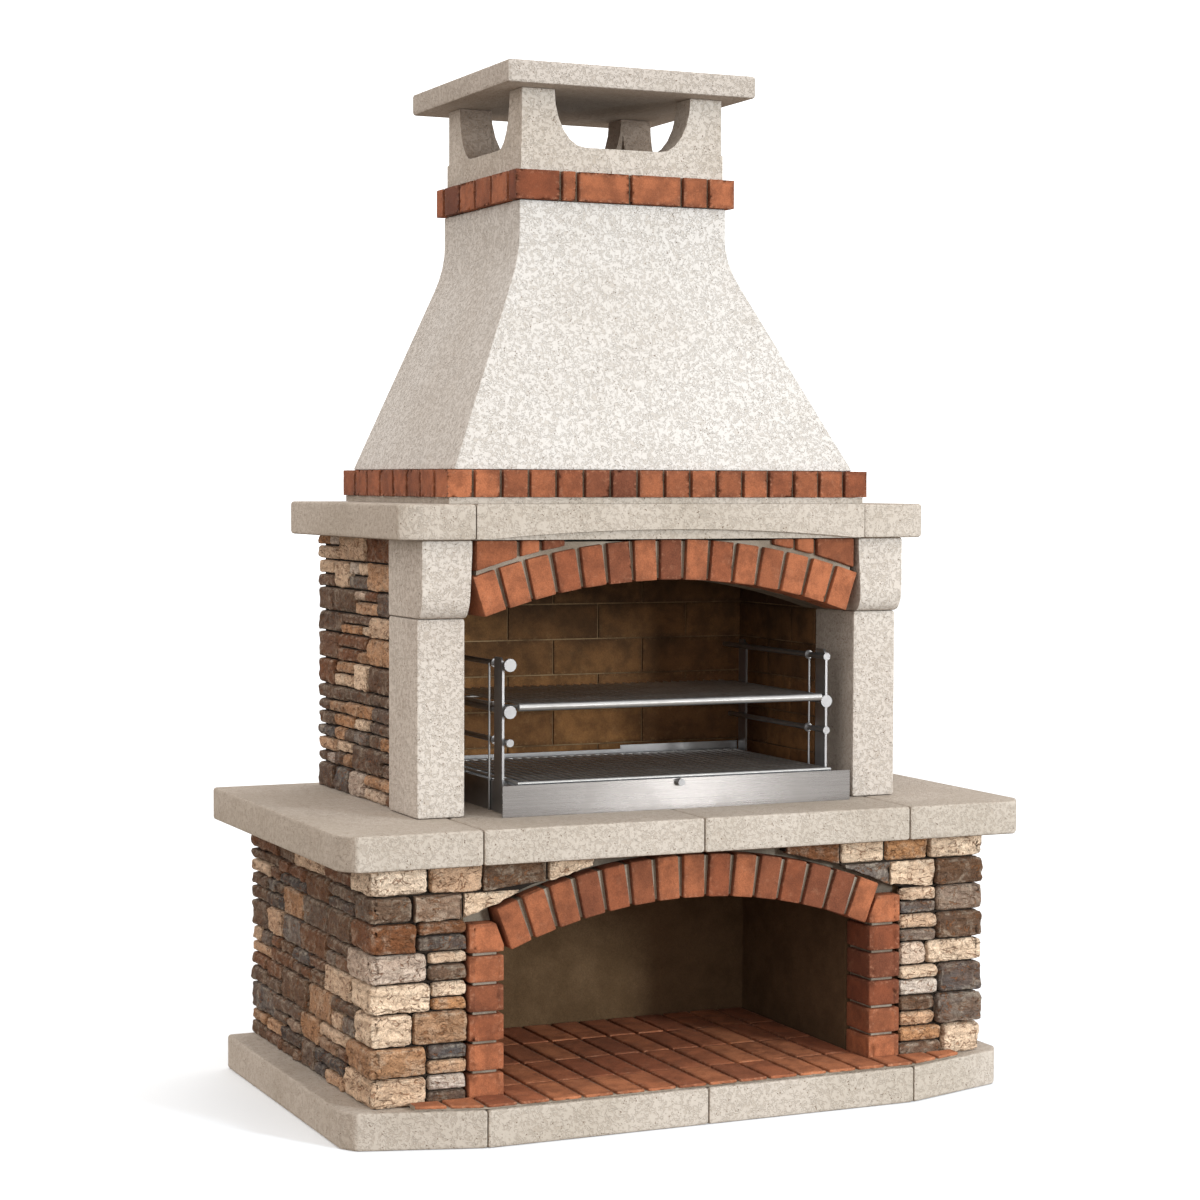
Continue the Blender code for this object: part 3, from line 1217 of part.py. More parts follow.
def charcoal_grate(parent):
    """Make the lower grate: a frame of bars on four feet, with rods from front to back."""
    front = y_at(TRAY_FRONT - TRAY_SHEET - GRATE_MARGIN)
    back = y_at(TRAY_BACK + TRAY_SHEET + GRATE_MARGIN)
    z = WORKTOP_TOP + TRAY_HEIGHT + GRATE_BAR_RADIUS
    side_x = GRATE_HALF - GRATE_BAR_RADIUS
    bm = bmesh.new()
    add_rod(bm, (across(-GRATE_HALF), front, z), (across(GRATE_HALF), front, z),
            GRATE_BAR_RADIUS, BAR_SIDES)
    grate = make("charcoal_grate", bm, "steel", parent, smooth=True)
    bm = bmesh.new()
    inner = GRATE_HALF - 2 * GRATE_BAR_RADIUS
    pitch = 2 * inner / (GRATE_RODS + 1)
    rod_z = z + GRATE_ROD_RISE
    for index in range(GRATE_RODS):
        x = across(-inner + (index + 1) * pitch)
        add_rod(bm, (x, front, rod_z), (x, back, rod_z), GRATE_ROD_RADIUS)
    for side in (-1, 1):
        x = across(side * side_x)
        add_rod(bm, (x, front, z), (x, back, z), GRATE_ROD_RADIUS, BAR_SIDES)
    combine(grate, "helper_grate_rods", bm, "UNION")
    bm = bmesh.new()
    add_rod(bm, (across(-GRATE_HALF), back, z), (across(GRATE_HALF), back, z),
            GRATE_BAR_RADIUS, BAR_SIDES)
    low = rod_z - 2 * GRATE_ROD_RADIUS - GAP
    for index in range(GRATE_BARS):
        y = front + (back - front) * (index + 1) / (GRATE_BARS + 1)
        add_rod(bm, (across(-side_x), y, low), (across(side_x), y, low), GRATE_ROD_RADIUS)
    foot = WORKTOP_TOP + GAP + TRAY_SHEET + GAP
    for side in (-1, 1):
        x = across(side * side_x)
        for y in (front + GRATE_FOOT_INSET, back - GRATE_FOOT_INSET):
            add_rod(bm, (x, y, foot), (x, y, z), GRATE_FOOT_RADIUS, BAR_SIDES)
    combine(grate, "helper_grate_bars", bm, "UNION")


def cooking_grid(parent):
    """Make the upper grid: a thick front tube, a frame that lies on the rails, and rods."""
    rail_top = WORKTOP_TOP + RAIL_HEIGHTS[1] + RAIL_RADIUS
    z = rail_top + GAP + GRID_SIDE_RADIUS
    front, back = y_at(GRID_FRONT), y_at(GRID_BACK)
    bm = bmesh.new()
    add_rod(bm, (across(-GRID_TUBE_HALF), front, z), (across(GRID_TUBE_HALF), front, z),
            GRID_TUBE_RADIUS, TUBE_SIDES)
    grid = make("cooking_grid", bm, "steel", parent, smooth=True)
    bm = bmesh.new()
    start_x = GRID_TUBE_HALF - GRID_TUBE_RADIUS
    points = [(-start_x, front), (-start_x, front + 2 * GRID_TUBE_RADIUS),
              (-RAIL_X, front + GRID_SHOULDER)]
    for step in range(CORNER_STEPS + 1):
        angle = math.pi / 2 * step / CORNER_STEPS
        points.append((-RAIL_X + GRID_CORNER * (1 - math.cos(angle)),
                       back - GRID_CORNER * (1 - math.sin(angle))))
    points += [(-x, y) for x, y in reversed(points)]
    add_bent_rod(bm, [(across(x), y, z) for x, y in points], GRID_SIDE_RADIUS, BAR_SIDES)
    combine(grid, "helper_grid_frame", bm, "UNION")
    bm = bmesh.new()
    reach = start_x - GRID_TUBE_RADIUS
    rod_z = z + GRID_ROD_RISE
    for index in range(GRID_RODS):
        x = across(-reach + 2 * reach * index / (GRID_RODS - 1))
        add_rod(bm, (x, front, rod_z), (x, back, rod_z), GRID_ROD_RADIUS)
    low = z - GRID_CROSS_DROP
    for index in range(GRID_CROSS_RODS):
        y = front + (back - front) * (index + 1) / (GRID_CROSS_RODS + 1)
        add_rod(bm, (across(-RAIL_X), y, low), (across(RAIL_X), y, low), GRID_ROD_RADIUS)
    combine(grid, "helper_grid_rods", bm, "UNION")


def add_bent_rod(bm, points, radius, sides):
    """Add a round bar along points in one level plane."""
    points = [Vector(point) for point in points]
    rings = []
    for index, point in enumerate(points):
        before = points[max(index - 1, 0)]
        after = points[min(index + 1, len(points) - 1)]
        run = (after - before).normalized()
        outward = Vector((run.y, -run.x, 0.0))
        ring = []
        for step in range(sides):
            angle = 2 * math.pi * (step + 0.5) / sides
            offset = outward * math.cos(angle) + Vector((0, 0, math.sin(angle)))
            ring.append(bm.verts.new(point + offset * radius))
        rings.append(ring)
    for first, second in zip(rings, rings[1:]):
        for step in range(sides):
            ahead = (step + 1) % sides
            bm.faces.new((first[step], first[ahead], second[ahead], second[step]))
    bm.faces.new(rings[0])
    bm.faces.new(list(reversed(rings[-1])))


def grill_set():
    """Make the steel set, whose pieces hang on empties that stand for its moving bodies."""
    spot = Vector((GRILL_CENTRE, y_at((TRAY_FRONT + TRAY_BACK) / 2), WORKTOP_TOP))
    empties = {}
    for name in ("grill_stand", "charcoal_grate_lift", "cooking_grid_lift"):
        empty = bpy.data.objects.new(name, None)
        bpy.context.scene.collection.objects.link(empty)
        empty.location = spot
        empties[name] = empty
    ember_tray(empties["grill_stand"])
    uprights(empties["grill_stand"])
    rails(empties["grill_stand"])
    charcoal_grate(empties["charcoal_grate_lift"])
    cooking_grid(empties["cooking_grid_lift"])


def main():
    clear_scene()
    base_slab()
    floor_bricks()
    lower_walls()
    arch = lower_arch()
    lower_stones(arch)
    worktop()
    columns_and_corbels()
    upper_arch()
    upper_walls()
    firebox_lining()
    upper_stones()
    mantle()
    hood_base()
    hood_trim()
    hood()
    neck_trim()
    cowl()
    grill_set()


main()
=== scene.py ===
"""Looks of the masonry garden barbecue: castings, split stones, bricks and brushed steel."""

import json
import math
import random

import bmesh
import bpy
from mathutils import Matrix, Vector, noise


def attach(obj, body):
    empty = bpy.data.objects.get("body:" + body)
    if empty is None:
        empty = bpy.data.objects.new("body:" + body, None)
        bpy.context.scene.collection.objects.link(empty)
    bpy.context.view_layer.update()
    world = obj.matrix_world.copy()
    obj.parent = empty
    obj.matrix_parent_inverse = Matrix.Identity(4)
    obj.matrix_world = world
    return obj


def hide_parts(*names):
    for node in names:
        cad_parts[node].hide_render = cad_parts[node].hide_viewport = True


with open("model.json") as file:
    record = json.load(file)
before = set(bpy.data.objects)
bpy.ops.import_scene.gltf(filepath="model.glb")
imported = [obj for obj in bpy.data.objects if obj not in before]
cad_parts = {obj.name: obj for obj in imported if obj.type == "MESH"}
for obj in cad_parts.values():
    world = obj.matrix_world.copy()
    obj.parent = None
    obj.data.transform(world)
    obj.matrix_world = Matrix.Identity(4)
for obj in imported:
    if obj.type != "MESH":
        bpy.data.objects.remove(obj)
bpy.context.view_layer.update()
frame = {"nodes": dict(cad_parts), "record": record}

# Camera of the photograph, in the frame's metres and degrees
CAMERA_PLACE = (-2.4398, -5.3478, 1.3442)
CAMERA_YAW = 24.2308
CAMERA_PITCH = 2.5936
CAMERA_ROLL = 0.1964
CAMERA_LENS = 78.6            # mm
SENSOR = 36.0                 # mm

# Studio
FLOOR_SIZE = 60.0
SKY = (1.6, 1.6, 1.6, 1.0)
GROUND = (0.52, 0.46, 0.40, 1.0)
HORIZON = (-0.16, -0.08)      # heights of a direction between which ground turns into sky
KEY_COLOUR = (0.70, 0.86, 1.0)
WHITE = (1.0, 1.0, 1.0)
LAMPS = {                     # place, aim, size across and up, power, colour, seen in gloss
    "key": ((4.4, -9.0, 2.3), (0.0, 0.0, 1.0), (1.1, 2.4), 1150.0, KEY_COLOUR, False),
    "strip": ((4.06, -8.6, 1.5), (0.0, 0.0, 0.8), (0.45, 3.0), 82.0, WHITE, True),
}

# Units of brick and stone, told from their mortar bed, in metres
WELD = 0.00001
BED_TOLERANCE = 0.0004
FACING = 0.999                # cosine from which a face lies in the bed's plane
FOLD = math.radians(1.0)      # a smaller fold counts as flat
SHARP = math.radians(20.0)    # a larger fold of a unit is rounded
UNIT_LONGEST = 0.29           # anything longer is the bed itself
FRONT_WALL = -0.403           # stones that stay behind this y belong to a side wall alone, and take side tones darkened as painted shade
ROUND_SEGMENTS = 2
ROUND_PROFILE = 0.55
MOST_CUTS = 5                 # how many times a unit's long edges are halved
DEPTH_FADE = 0.006            # height above the bed over which unevenness grows to its full size
EDGE_WEAR = 0.016             # width of a unit's worn rim
EDGEWISE = 0.7                # a normal this far along an axis has no rim across that axis

# Unevenness of a unit, in waves for each metre and shares of its depth
NOISE_SPREAD = 50.0           # each unit reads the noise at a place of its own
SWELL_WAVES, SWELL_SHARE = 24.0, 0.55
CHIP_WAVES, CHIP_SHARE = 55.0, 0.7
LEDGE_ACROSS, LEDGE_UP = 16.0, 80.0
WANDER_WAVES = 45.0
LEAN, MOST_LEAN = 6.0, 0.6

# Patterns of the materials, in features for each metre
CAST = {"clouds": 2.8, "patches": 9.0, "first_grooves": 104.0, "second_grooves": 136.0,
        "pits": 150.0, "pit_groups": 60.0, "grain": 620.0, "swell": 30.0}
CLAY = {"blooms": 20.0, "chalk": 38.0, "scuffs": 9.0, "wear": 110.0, "wavy_top": 5.0,
        "grain": 430.0, "pits": 190.0, "swell": 55.0}
STONE = {"layers": 9.0, "blotches": 30.0, "veins": 38.0, "chips": 48.0, "wear": 70.0,
         "grain": 330.0}
CEMENT = {"clouds": 7.0, "weather": 4.0, "sand": 380.0, "swell": 46.0}
METAL = {"drawn": 120.0, "stains": 7.0}
FLOOR_CLOUDS = 0.6

# Other measures of the materials
DULL = 0.25                   # specular level of concrete, clay and stone
GROOVE_WIDTH = 0.085          # in the noise's own height, as VEIN_WIDTH
VEIN_WIDTH = 0.035
THREAD_CORE = 0.25            # share of a thread's width that has its full depth
THREAD_BREAKS = 0.85          # waves of the noise that breaks a thread, for each of its own
BRUSH_TURN = 0.25             # rotation of the brushed gloss, in full turns
FLUE_MIDDLE = 0.178           # y of the flue's axis
INNER_SHADE_FACING = (-0.06, -0.01)  # how far a face turns away from the flue, from painted shade to none
INNER_SHADE_BEHIND = (0.20, 0.28)    # y over which the painted shade of the cowl grows
TOP_DARK_HEIGHT = (0.98, 1.50)   # z over which the firebox darkens
OUTER_HALF = (0.30, 0.34)     # y over which the back walls turn from the painted shade inside to their outer colour


def srgb(red, green, blue):
    """A colour given in screen values from 0 to 255, as the linear colour that shaders take."""
    def linear(value):
        share = value / 255.0
        return share / 12.92 if share <= 0.04045 else ((share + 0.055) / 1.055) ** 2.4
    return (linear(red), linear(green), linear(blue), 1.0)


# painted shade in the concrete's pits
PIT_SHADE = srgb(104, 78, 54)
# painted shade on the cowl's inner faces
COWL_INNER_SHADE = srgb(92, 66, 44)
LAYER_BROWN = srgb(112, 78, 52)
LIME_BLOOM = srgb(206, 188, 164)
VEIN_RUST = srgb(116, 72, 42)
# painted shade in the stone's hollows
CREVICE_SHADE = srgb(70, 50, 36)
WORN_STONE = srgb(196, 180, 158)
WEATHERED = srgb(142, 128, 112)
STONE_TONES = [
    (0.00, srgb(62, 54, 50)), (0.08, srgb(84, 76, 72)), (0.16, srgb(90, 64, 46)),
    (0.24, srgb(94, 76, 63)), (0.32, srgb(112, 68, 41)), (0.40, srgb(92, 65, 45)),
    (0.48, srgb(106, 95, 87)), (0.56, srgb(156, 118, 88)), (0.64, srgb(172, 121, 80)),
    (0.72, srgb(196, 161, 131)), (0.80, srgb(220, 190, 160)), (0.88, srgb(208, 173, 141)),
    (0.94, srgb(176, 160, 148)), (1.00, srgb(226, 198, 170))]


class Shader:
    """A procedural material. Inputs take a value or another node's socket."""

    def __init__(self, name, roughness, metallic=0.0, specular=0.5, shift=(0.0, 0.0, 0.0)):
        self.material = bpy.data.materials.new(name)
        self.material.use_nodes = True
        self.tree = self.material.node_tree
        self.surface = self.tree.nodes["Principled BSDF"]
        self.surface.inputs["Roughness"].default_value = roughness
        self.surface.inputs["Metallic"].default_value = metallic
        self.surface.inputs["Specular IOR Level"].default_value = specular
        spot = self.add("ShaderNodeTexCoord").outputs["Object"]
        inputs = {"Vector": spot, "Location": shift}
        self.place = self.add("ShaderNodeMapping", inputs).outputs["Vector"]

    def add(self, kind, inputs=(), **settings):
        made = self.tree.nodes.new(kind)
        for key, value in settings.items():
            setattr(made, key, value)
        for key, value in dict(inputs).items():
            self.feed(made.inputs[key], value)
        return made

    def feed(self, socket, value):
        if isinstance(value, bpy.types.NodeSocket):
            self.tree.links.new(value, socket)
        else:
            socket.default_value = value

    def moved(self, location=(0.0, 0.0, 0.0), scale=(1.0, 1.0, 1.0)):
        """The place shifted, or scaled on each axis for grain that runs one way."""
        inputs = {"Vector": self.place, "Location": location, "Scale": scale}
        return self.add("ShaderNodeMapping", inputs).outputs["Vector"]

    def noise(self, scale, detail=2.0, roughness=0.5, distortion=0.0, place=None):
        inputs = {"Vector": place or self.place, "Scale": scale, "Detail": detail,
                  "Roughness": roughness, "Distortion": distortion}
        return self.add("ShaderNodeTexNoise", inputs).outputs["Fac"]

    def cells(self, scale):
        """Distance to the nearest of many scattered points."""
        inputs = {"Vector": self.place, "Scale": scale}
        return self.add("ShaderNodeTexVoronoi", inputs).outputs["Distance"]

    def step(self, value, low, high, start=0.0, end=1.0):
        """A soft step of value from start at low to end at high."""
        inputs = {"Value": value, "From Min": low, "From Max": high,
                  "To Min": start, "To Max": end}
        made = self.add("ShaderNodeMapRange", inputs, interpolation_type="SMOOTHSTEP")
        return made.outputs["Result"]

    def math(self, operation, first, second=0.0):
        made = self.add("ShaderNodeMath", {0: first, 1: second}, operation=operation)
        return made.outputs["Value"]

    def product(self, *values):
        result = values[0]
        for value in values[1:]:
            result = self.math("MULTIPLY", result, value)
        return result

    def mix(self, factor, first, second, blend="MIX"):
        made = self.add("ShaderNodeMix", data_type="RGBA", blend_type=blend)
        for index, value in ((0, factor), (6, first), (7, second)):
            self.feed(made.inputs[index], value)
        return made.outputs[2]

    def ramp(self, factor, stops):
        made = self.add("ShaderNodeValToRGB", {"Fac": factor})
        elements = made.color_ramp.elements
        while len(elements) < len(stops):
            elements.new(0.5)
        for element, (place, colour) in zip(elements, stops):
            element.position = place
            element.color = colour
        return made.outputs["Color"]

    def attribute(self, name):
        return self.add("ShaderNodeAttribute", attribute_name=name).outputs["Fac"]

    def threads(self, scale, width, place, where):
        """Short winding threads: the level line of a noise, broken up by a second noise."""
        field = self.noise(scale, 1.5, 0.5, 0.9, place)
        line = self.math("ABSOLUTE", self.math("SUBTRACT", field, 0.5))
        line = self.step(line, width * THREAD_CORE, width, 1.0, 0.0)
        breaks = self.noise(scale * THREAD_BREAKS, 1.0, place=place)
        return self.product(line, self.step(breaks, where - 0.04, where + 0.05))

    def bump(self, height, distance, below=None):
        inputs = {"Height": height, "Distance": distance}
        if below is not None:
            inputs["Normal"] = below
        return self.add("ShaderNodeBump", inputs).outputs["Normal"]

    def finish(self, colour, roughness=None, normal=None):
        self.feed(self.surface.inputs["Base Color"], colour)
        if roughness is not None:
            self.feed(self.surface.inputs["Roughness"], roughness)
        if normal is not None:
            self.feed(self.surface.inputs["Normal"], normal)
        return self.material


def casting(name, pale, deep, stain, relief, pits, shift, shaded_inside=False):
    """Weathered cast concrete: clouds of colour, a skin of short winding grooves darkened as
    painted shade, and pits painted brown as shade.
    Where asked for, the faces of the rear posts that look at the flue are painted brown as shade."""
    s = Shader(name, 0.92, specular=DULL, shift=shift)
    clouds = s.step(s.noise(CAST["clouds"], 5.0, 0.55), 0.36, 0.66)
    colour = s.mix(clouds, pale, deep)
    patches = s.step(s.noise(CAST["patches"], 4.0, 0.60), 0.52, 0.80)
    colour = s.mix(s.product(patches, 0.16), colour, stain)
    first = s.threads(CAST["first_grooves"], GROOVE_WIDTH, s.place, 0.50)
    second = s.threads(CAST["second_grooves"], GROOVE_WIDTH, s.moved((5.3, 2.1, 7.7)), 0.52)
    grooves = s.math("MAXIMUM", first, second)
    holes = s.step(s.cells(CAST["pits"]), 0.14, 0.26, 1.0, 0.0)
    chance = s.step(s.noise(CAST["pit_groups"], 1.0), 0.56, 0.62)
    holes = s.product(holes, chance, pits)
    fine = s.noise(CAST["grain"], 3.0, 0.7)
    # painted shade: the grooves take the stain colour and the pits a brown
    colour = s.mix(s.product(grooves, 0.32 * relief), colour, stain)
    colour = s.mix(s.product(holes, 0.75), colour, PIT_SHADE)
    colour = s.mix(1.0, colour, s.step(fine, 0.28, 0.74, 0.90, 1.05), "MULTIPLY")
    # painted shade on the rear posts' faces that look at the flue, towards the back of the cowl
    if shaded_inside:
        split = s.add("ShaderNodeSeparateXYZ", {"Vector": s.place}).outputs
        normal = s.add("ShaderNodeTexCoord").outputs["Normal"]
        facing = s.add("ShaderNodeSeparateXYZ", {"Vector": normal}).outputs
        across = s.product(facing["X"], split["X"])
        along = s.product(facing["Y"], s.math("SUBTRACT", split["Y"], FLUE_MIDDLE))
        inward = s.step(s.math("ADD", across, along), *INNER_SHADE_FACING, 1.0, 0.0)
        behind = s.step(split["Y"], *INNER_SHADE_BEHIND)
        colour = s.mix(s.product(inward, behind, 0.72), colour, COWL_INNER_SHADE)
    height = s.math("SUBTRACT", s.product(fine, 0.30), s.product(grooves, relief))
    height = s.math("SUBTRACT", height, holes)
    swell = s.bump(s.noise(CAST["swell"], 3.0, 0.55), 0.0006)
    return s.finish(colour, normal=s.bump(height, 0.0010, swell))


def fired_clay(name, stops, dust, scuff, top_dark=None):
    """Brick: each one its own colour, with fine grain, darker blooms, pale dust and worn edges."""
    s = Shader(name, 0.90, specular=DULL)
    base = s.ramp(s.attribute("tone"), stops)
    bloom = s.step(s.noise(CLAY["blooms"], 5.0, 0.64), 0.38, 0.66)
    colour = s.mix(s.product(bloom, 0.55), base, scuff)
    chalk = s.step(s.noise(CLAY["chalk"], 5.0, 0.7), 0.54, 0.78)
    colour = s.mix(s.product(chalk, 0.20), colour, dust)
    rim = s.step(s.attribute("rim"), 0.05, 0.75, 1.0, 0.0)
    scuffed = s.step(s.noise(CLAY["scuffs"], 2.0), 0.35, 0.65)
    colour = s.mix(s.product(rim, scuffed, 0.55), colour, scuff)
    worn = s.product(rim, s.step(s.noise(CLAY["wear"], 3.0, 0.6), 0.52, 0.64))
    colour = s.mix(s.product(worn, 0.28), colour, dust)
    # darker towards the top of the firebox, along a wavy line
    if top_dark is not None:
        level = s.add("ShaderNodeSeparateXYZ", {"Vector": s.place}).outputs["Z"]
        wavy_top = s.math("ADD", level, s.product(s.noise(CLAY["wavy_top"], 4.0, 0.6), 0.5))
        colour = s.mix(s.product(s.step(wavy_top, *TOP_DARK_HEIGHT), 0.85), colour, top_dark)
    fine = s.noise(CLAY["grain"], 4.0, 0.72)
    colour = s.mix(1.0, colour, s.step(fine, 0.28, 0.72, 0.74, 1.14), "MULTIPLY")
    pits = s.step(s.cells(CLAY["pits"]), 0.08, 0.20, 1.0, 0.0)
    height = s.math("SUBTRACT", s.product(fine, 0.8), s.product(pits, 0.5))
    swell = s.bump(s.noise(CLAY["swell"], 4.0, 0.6), 0.0022)
    return s.finish(colour, normal=s.bump(height, 0.0010, swell))


def split_stone(name, shift):
    """Ledge stone: split layers in cream, ochre, rust and grey, one tone for each stone."""
    s = Shader(name, 0.88, specular=DULL, shift=shift)
    base = s.ramp(s.attribute("tone"), STONE_TONES)
    layers = s.noise(STONE["layers"], 6.0, 0.62, 1.0, s.moved(scale=(1.0, 1.0, 3.0)))
    colour = s.mix(s.product(s.step(layers, 0.40, 0.64), 0.34), base, LAYER_BROWN)
    blotch = s.step(s.noise(STONE["blotches"], 5.0, 0.65, 0.6), 0.48, 0.68)
    colour = s.mix(s.product(blotch, 0.22), colour, LIME_BLOOM)
    vein = s.threads(STONE["veins"], VEIN_WIDTH, s.moved((1.7, 8.2, 3.3), (1.0, 1.0, 1.6)), 0.46)
    colour = s.mix(s.product(vein, 0.70), colour, VEIN_RUST)
    chips = s.noise(STONE["chips"], 4.0, 0.60, 0.8, s.moved(scale=(1.0, 1.0, 1.7)))
    # painted shade in the low hollows of the chipped face
    colour = s.mix(s.product(s.step(chips, 0.30, 0.48, 1.0, 0.0), 0.50), colour, CREVICE_SHADE)
    rim = s.step(s.attribute("rim"), 0.15, 0.60, 1.0, 0.0)
    worn = s.product(rim, s.step(s.noise(STONE["wear"], 4.0, 0.62), 0.44, 0.58))
    colour = s.mix(s.product(worn, 0.26), colour, WORN_STONE)
    fine = s.noise(STONE["grain"], 5.0, 0.74)
    colour = s.mix(1.0, colour, s.step(fine, 0.28, 0.72, 0.64, 1.30), "MULTIPLY")
    rough = s.bump(chips, 0.0150)
    rough = s.bump(s.product(vein, -1.0), 0.0022, rough)
    return s.finish(colour, normal=s.bump(fine, 0.0014, rough))


def mortar(name, pale, deep, swell_depth, outside=None):
    """Cement: sandy and uneven. It serves as joints, as rough render and as bare block.
    Where an outside colour is given, the outer half of the back walls has it, and the darker
    colours inside are painted shade."""
    s = Shader(name, 0.95, specular=0.2)
    colour = s.mix(s.step(s.noise(CEMENT["clouds"], 6.0, 0.65), 0.36, 0.66), pale, deep)
    if outside is not None:
        back = s.add("ShaderNodeSeparateXYZ", {"Vector": s.place}).outputs["Y"]
        stains = s.step(s.noise(CEMENT["weather"], 6.0, 0.6), 0.36, 0.66)
        weather = s.mix(stains, outside, WEATHERED)
        colour = s.mix(s.step(back, *OUTER_HALF), colour, weather)
    sand = s.noise(CEMENT["sand"], 4.0, 0.75)
    colour = s.mix(1.0, colour, s.step(sand, 0.28, 0.72, 0.76, 1.12), "MULTIPLY")
    swell = s.bump(s.noise(CEMENT["swell"], 5.0, 0.62), swell_depth)
    return s.finish(colour, normal=s.bump(sand, 0.0011, swell))


def steel(name, tint, shadow, metal, gloss, grain, brushed=0.0):
    """Stainless steel with drawn lines, light stains and an uneven gloss."""
    s = Shader(name, gloss, metallic=metal)
    s.surface.inputs["Anisotropic"].default_value = brushed
    s.surface.inputs["Anisotropic Rotation"].default_value = BRUSH_TURN
    drawn = s.step(s.noise(METAL["drawn"], 3.0, 0.7, place=s.moved(scale=grain)), 0.30, 0.70)
    stain = s.step(s.noise(METAL["stains"], 4.0, 0.6), 0.42, 0.72)
    colour = s.mix(s.product(stain, 0.35), tint, shadow)
    colour = s.mix(1.0, colour, s.step(drawn, 0.0, 1.0, 0.90, 1.05), "MULTIPLY")
    uneven = s.math("ADD", s.product(drawn, 0.06), s.product(stain, 0.06))
    return s.finish(colour, s.math("ADD", uneven, gloss - 0.06))


def pale_floor(name):
    s = Shader(name, 0.9, specular=0.1)
    clouds = s.noise(FLOOR_CLOUDS, 2.0)
    return s.finish(s.mix(clouds, srgb(229, 229, 229), srgb(231, 231, 231)))


MATERIALS = {
    "hood": casting("hood_concrete", srgb(189, 180, 171), srgb(184, 174, 164),
                    srgb(140, 124, 106), 1.0, 0.9, (0.0, 0.0, 0.0)),
    "slab": casting("slab_concrete", srgb(174, 160, 146), srgb(164, 150, 135),
                    srgb(124, 106, 87), 0.80, 1.0, (3.1, 1.7, 0.4)),
    "post": casting("post_concrete", srgb(186, 173, 160), srgb(177, 163, 150),
                    srgb(134, 116, 97), 0.95, 1.0, (7.3, 4.1, 2.2)),
    "cap": casting("cap_concrete", srgb(174, 161, 149), srgb(164, 151, 138),
                   srgb(124, 108, 90), 0.95, 1.0, (2.3, 6.1, 1.2)),
    "cowl": casting("cowl_concrete", srgb(184, 171, 158), srgb(175, 161, 147),
                    srgb(130, 113, 93), 0.95, 1.0, (0.0, 0.0, 0.0), shaded_inside=True),
    "brick": fired_clay("red_brick", [
        (0.0, srgb(116, 62, 40)), (0.25, srgb(140, 80, 52)), (0.55, srgb(158, 93, 61)),
        (0.8, srgb(134, 77, 50)), (1.0, srgb(104, 58, 40))],
        srgb(180, 128, 98), srgb(84, 46, 31)),
    "floor_brick": fired_clay("paving_brick", [
        (0.0, srgb(138, 78, 52)), (0.3, srgb(162, 96, 64)), (0.6, srgb(174, 108, 72)),
        (1.0, srgb(132, 76, 52))], srgb(186, 138, 108), srgb(104, 60, 40)),
    "firebrick": fired_clay("firebrick", [
        (0.0, srgb(104, 69, 40)), (0.4, srgb(126, 84, 48)), (0.7, srgb(142, 98, 58)),
        (1.0, srgb(94, 61, 36))], srgb(154, 118, 80), srgb(72, 47, 28), srgb(38, 26, 17)),
    "stone": split_stone("ledge_stone", (2.0, 5.0, 1.0)),
    "pale_joint": mortar("pale_mortar", srgb(148, 132, 115), srgb(116, 100, 84), 0.0022),
    "dark_joint": mortar("stone_joint", srgb(46, 37, 30), srgb(30, 24, 20), 0.0022),
    "soot_joint": mortar("fire_mortar", srgb(132, 104, 74), srgb(80, 58, 38), 0.0016),
    # the inside colours are darkened as painted shade of the wood store; the outer colour is the
    # render's own
    "render": mortar("cement_render_shaded_inside", srgb(93, 70, 48), srgb(78, 57, 37), 0.0050,
                     srgb(158, 145, 129)),
    "core": mortar("bare_block", srgb(124, 110, 94), srgb(92, 80, 68), 0.0030),
    "steel": steel("brushed_steel", srgb(158, 157, 157), srgb(144, 141, 138), 0.88, 0.34,
                   (0.12, 0.12, 0.12)),
    "grate": steel("grate_steel", srgb(178, 176, 173), srgb(158, 154, 150), 0.82, 0.34,
                   (0.12, 0.12, 0.12)),
    "fascia": steel("drawn_steel", srgb(140, 137, 135), srgb(130, 126, 122), 1.0, 0.30,
                    (0.03, 1.0, 6.0), 0.92),
}


def node_body(node):
    """The body that a CAD node rides on."""
    for body, members in frame["record"]["behaviour"]["bodies"].items():
        if node in members:
            return body
    raise KeyError(node)


def node_slot(node):
    """The record's material slot of a CAD node."""
    return next(row["material_slot"] for row in frame["record"]["subparts"] if row["node"] == node)


def welded(node):
    """The node's mesh with its shared corners joined."""
    bm = bmesh.new()
    bm.from_mesh(frame["nodes"][node].data)
    bmesh.ops.remove_doubles(bm, verts=bm.verts, dist=WELD)
    bm.normal_update()
    return bm


def place_piece(node, bm, materials):
    """Makes the piece that stands for the node and rides with it."""
    name = node + "_dressed"
    mesh = bpy.data.meshes.new(name)
    bm.to_mesh(mesh)
    bm.free()
    piece = bpy.data.objects.new(name, mesh)
    bpy.context.scene.collection.objects.link(piece)
    for key in materials:
        mesh.materials.append(MATERIALS[key])
    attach(piece, node_body(node))
    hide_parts(node)
    return piece


def dress(node, key, smooth):
    """Stands a copy for the node, smooth across folds up to that many degrees."""
    bm = welded(node)
    bmesh.ops.dissolve_limit(bm, angle_limit=FOLD / 2, verts=bm.verts, edges=bm.edges)
    limit = math.radians(smooth)
    for face in bm.faces:
        face.smooth = True
    for edge in bm.edges:
        edge.smooth = len(edge.link_faces) == 2 and edge.calc_face_angle(math.pi) < limit
    piece = place_piece(node, bm, [key])
    modifier = piece.modifiers.new("even_shading", "WEIGHTED_NORMAL")
    modifier.keep_sharp = True


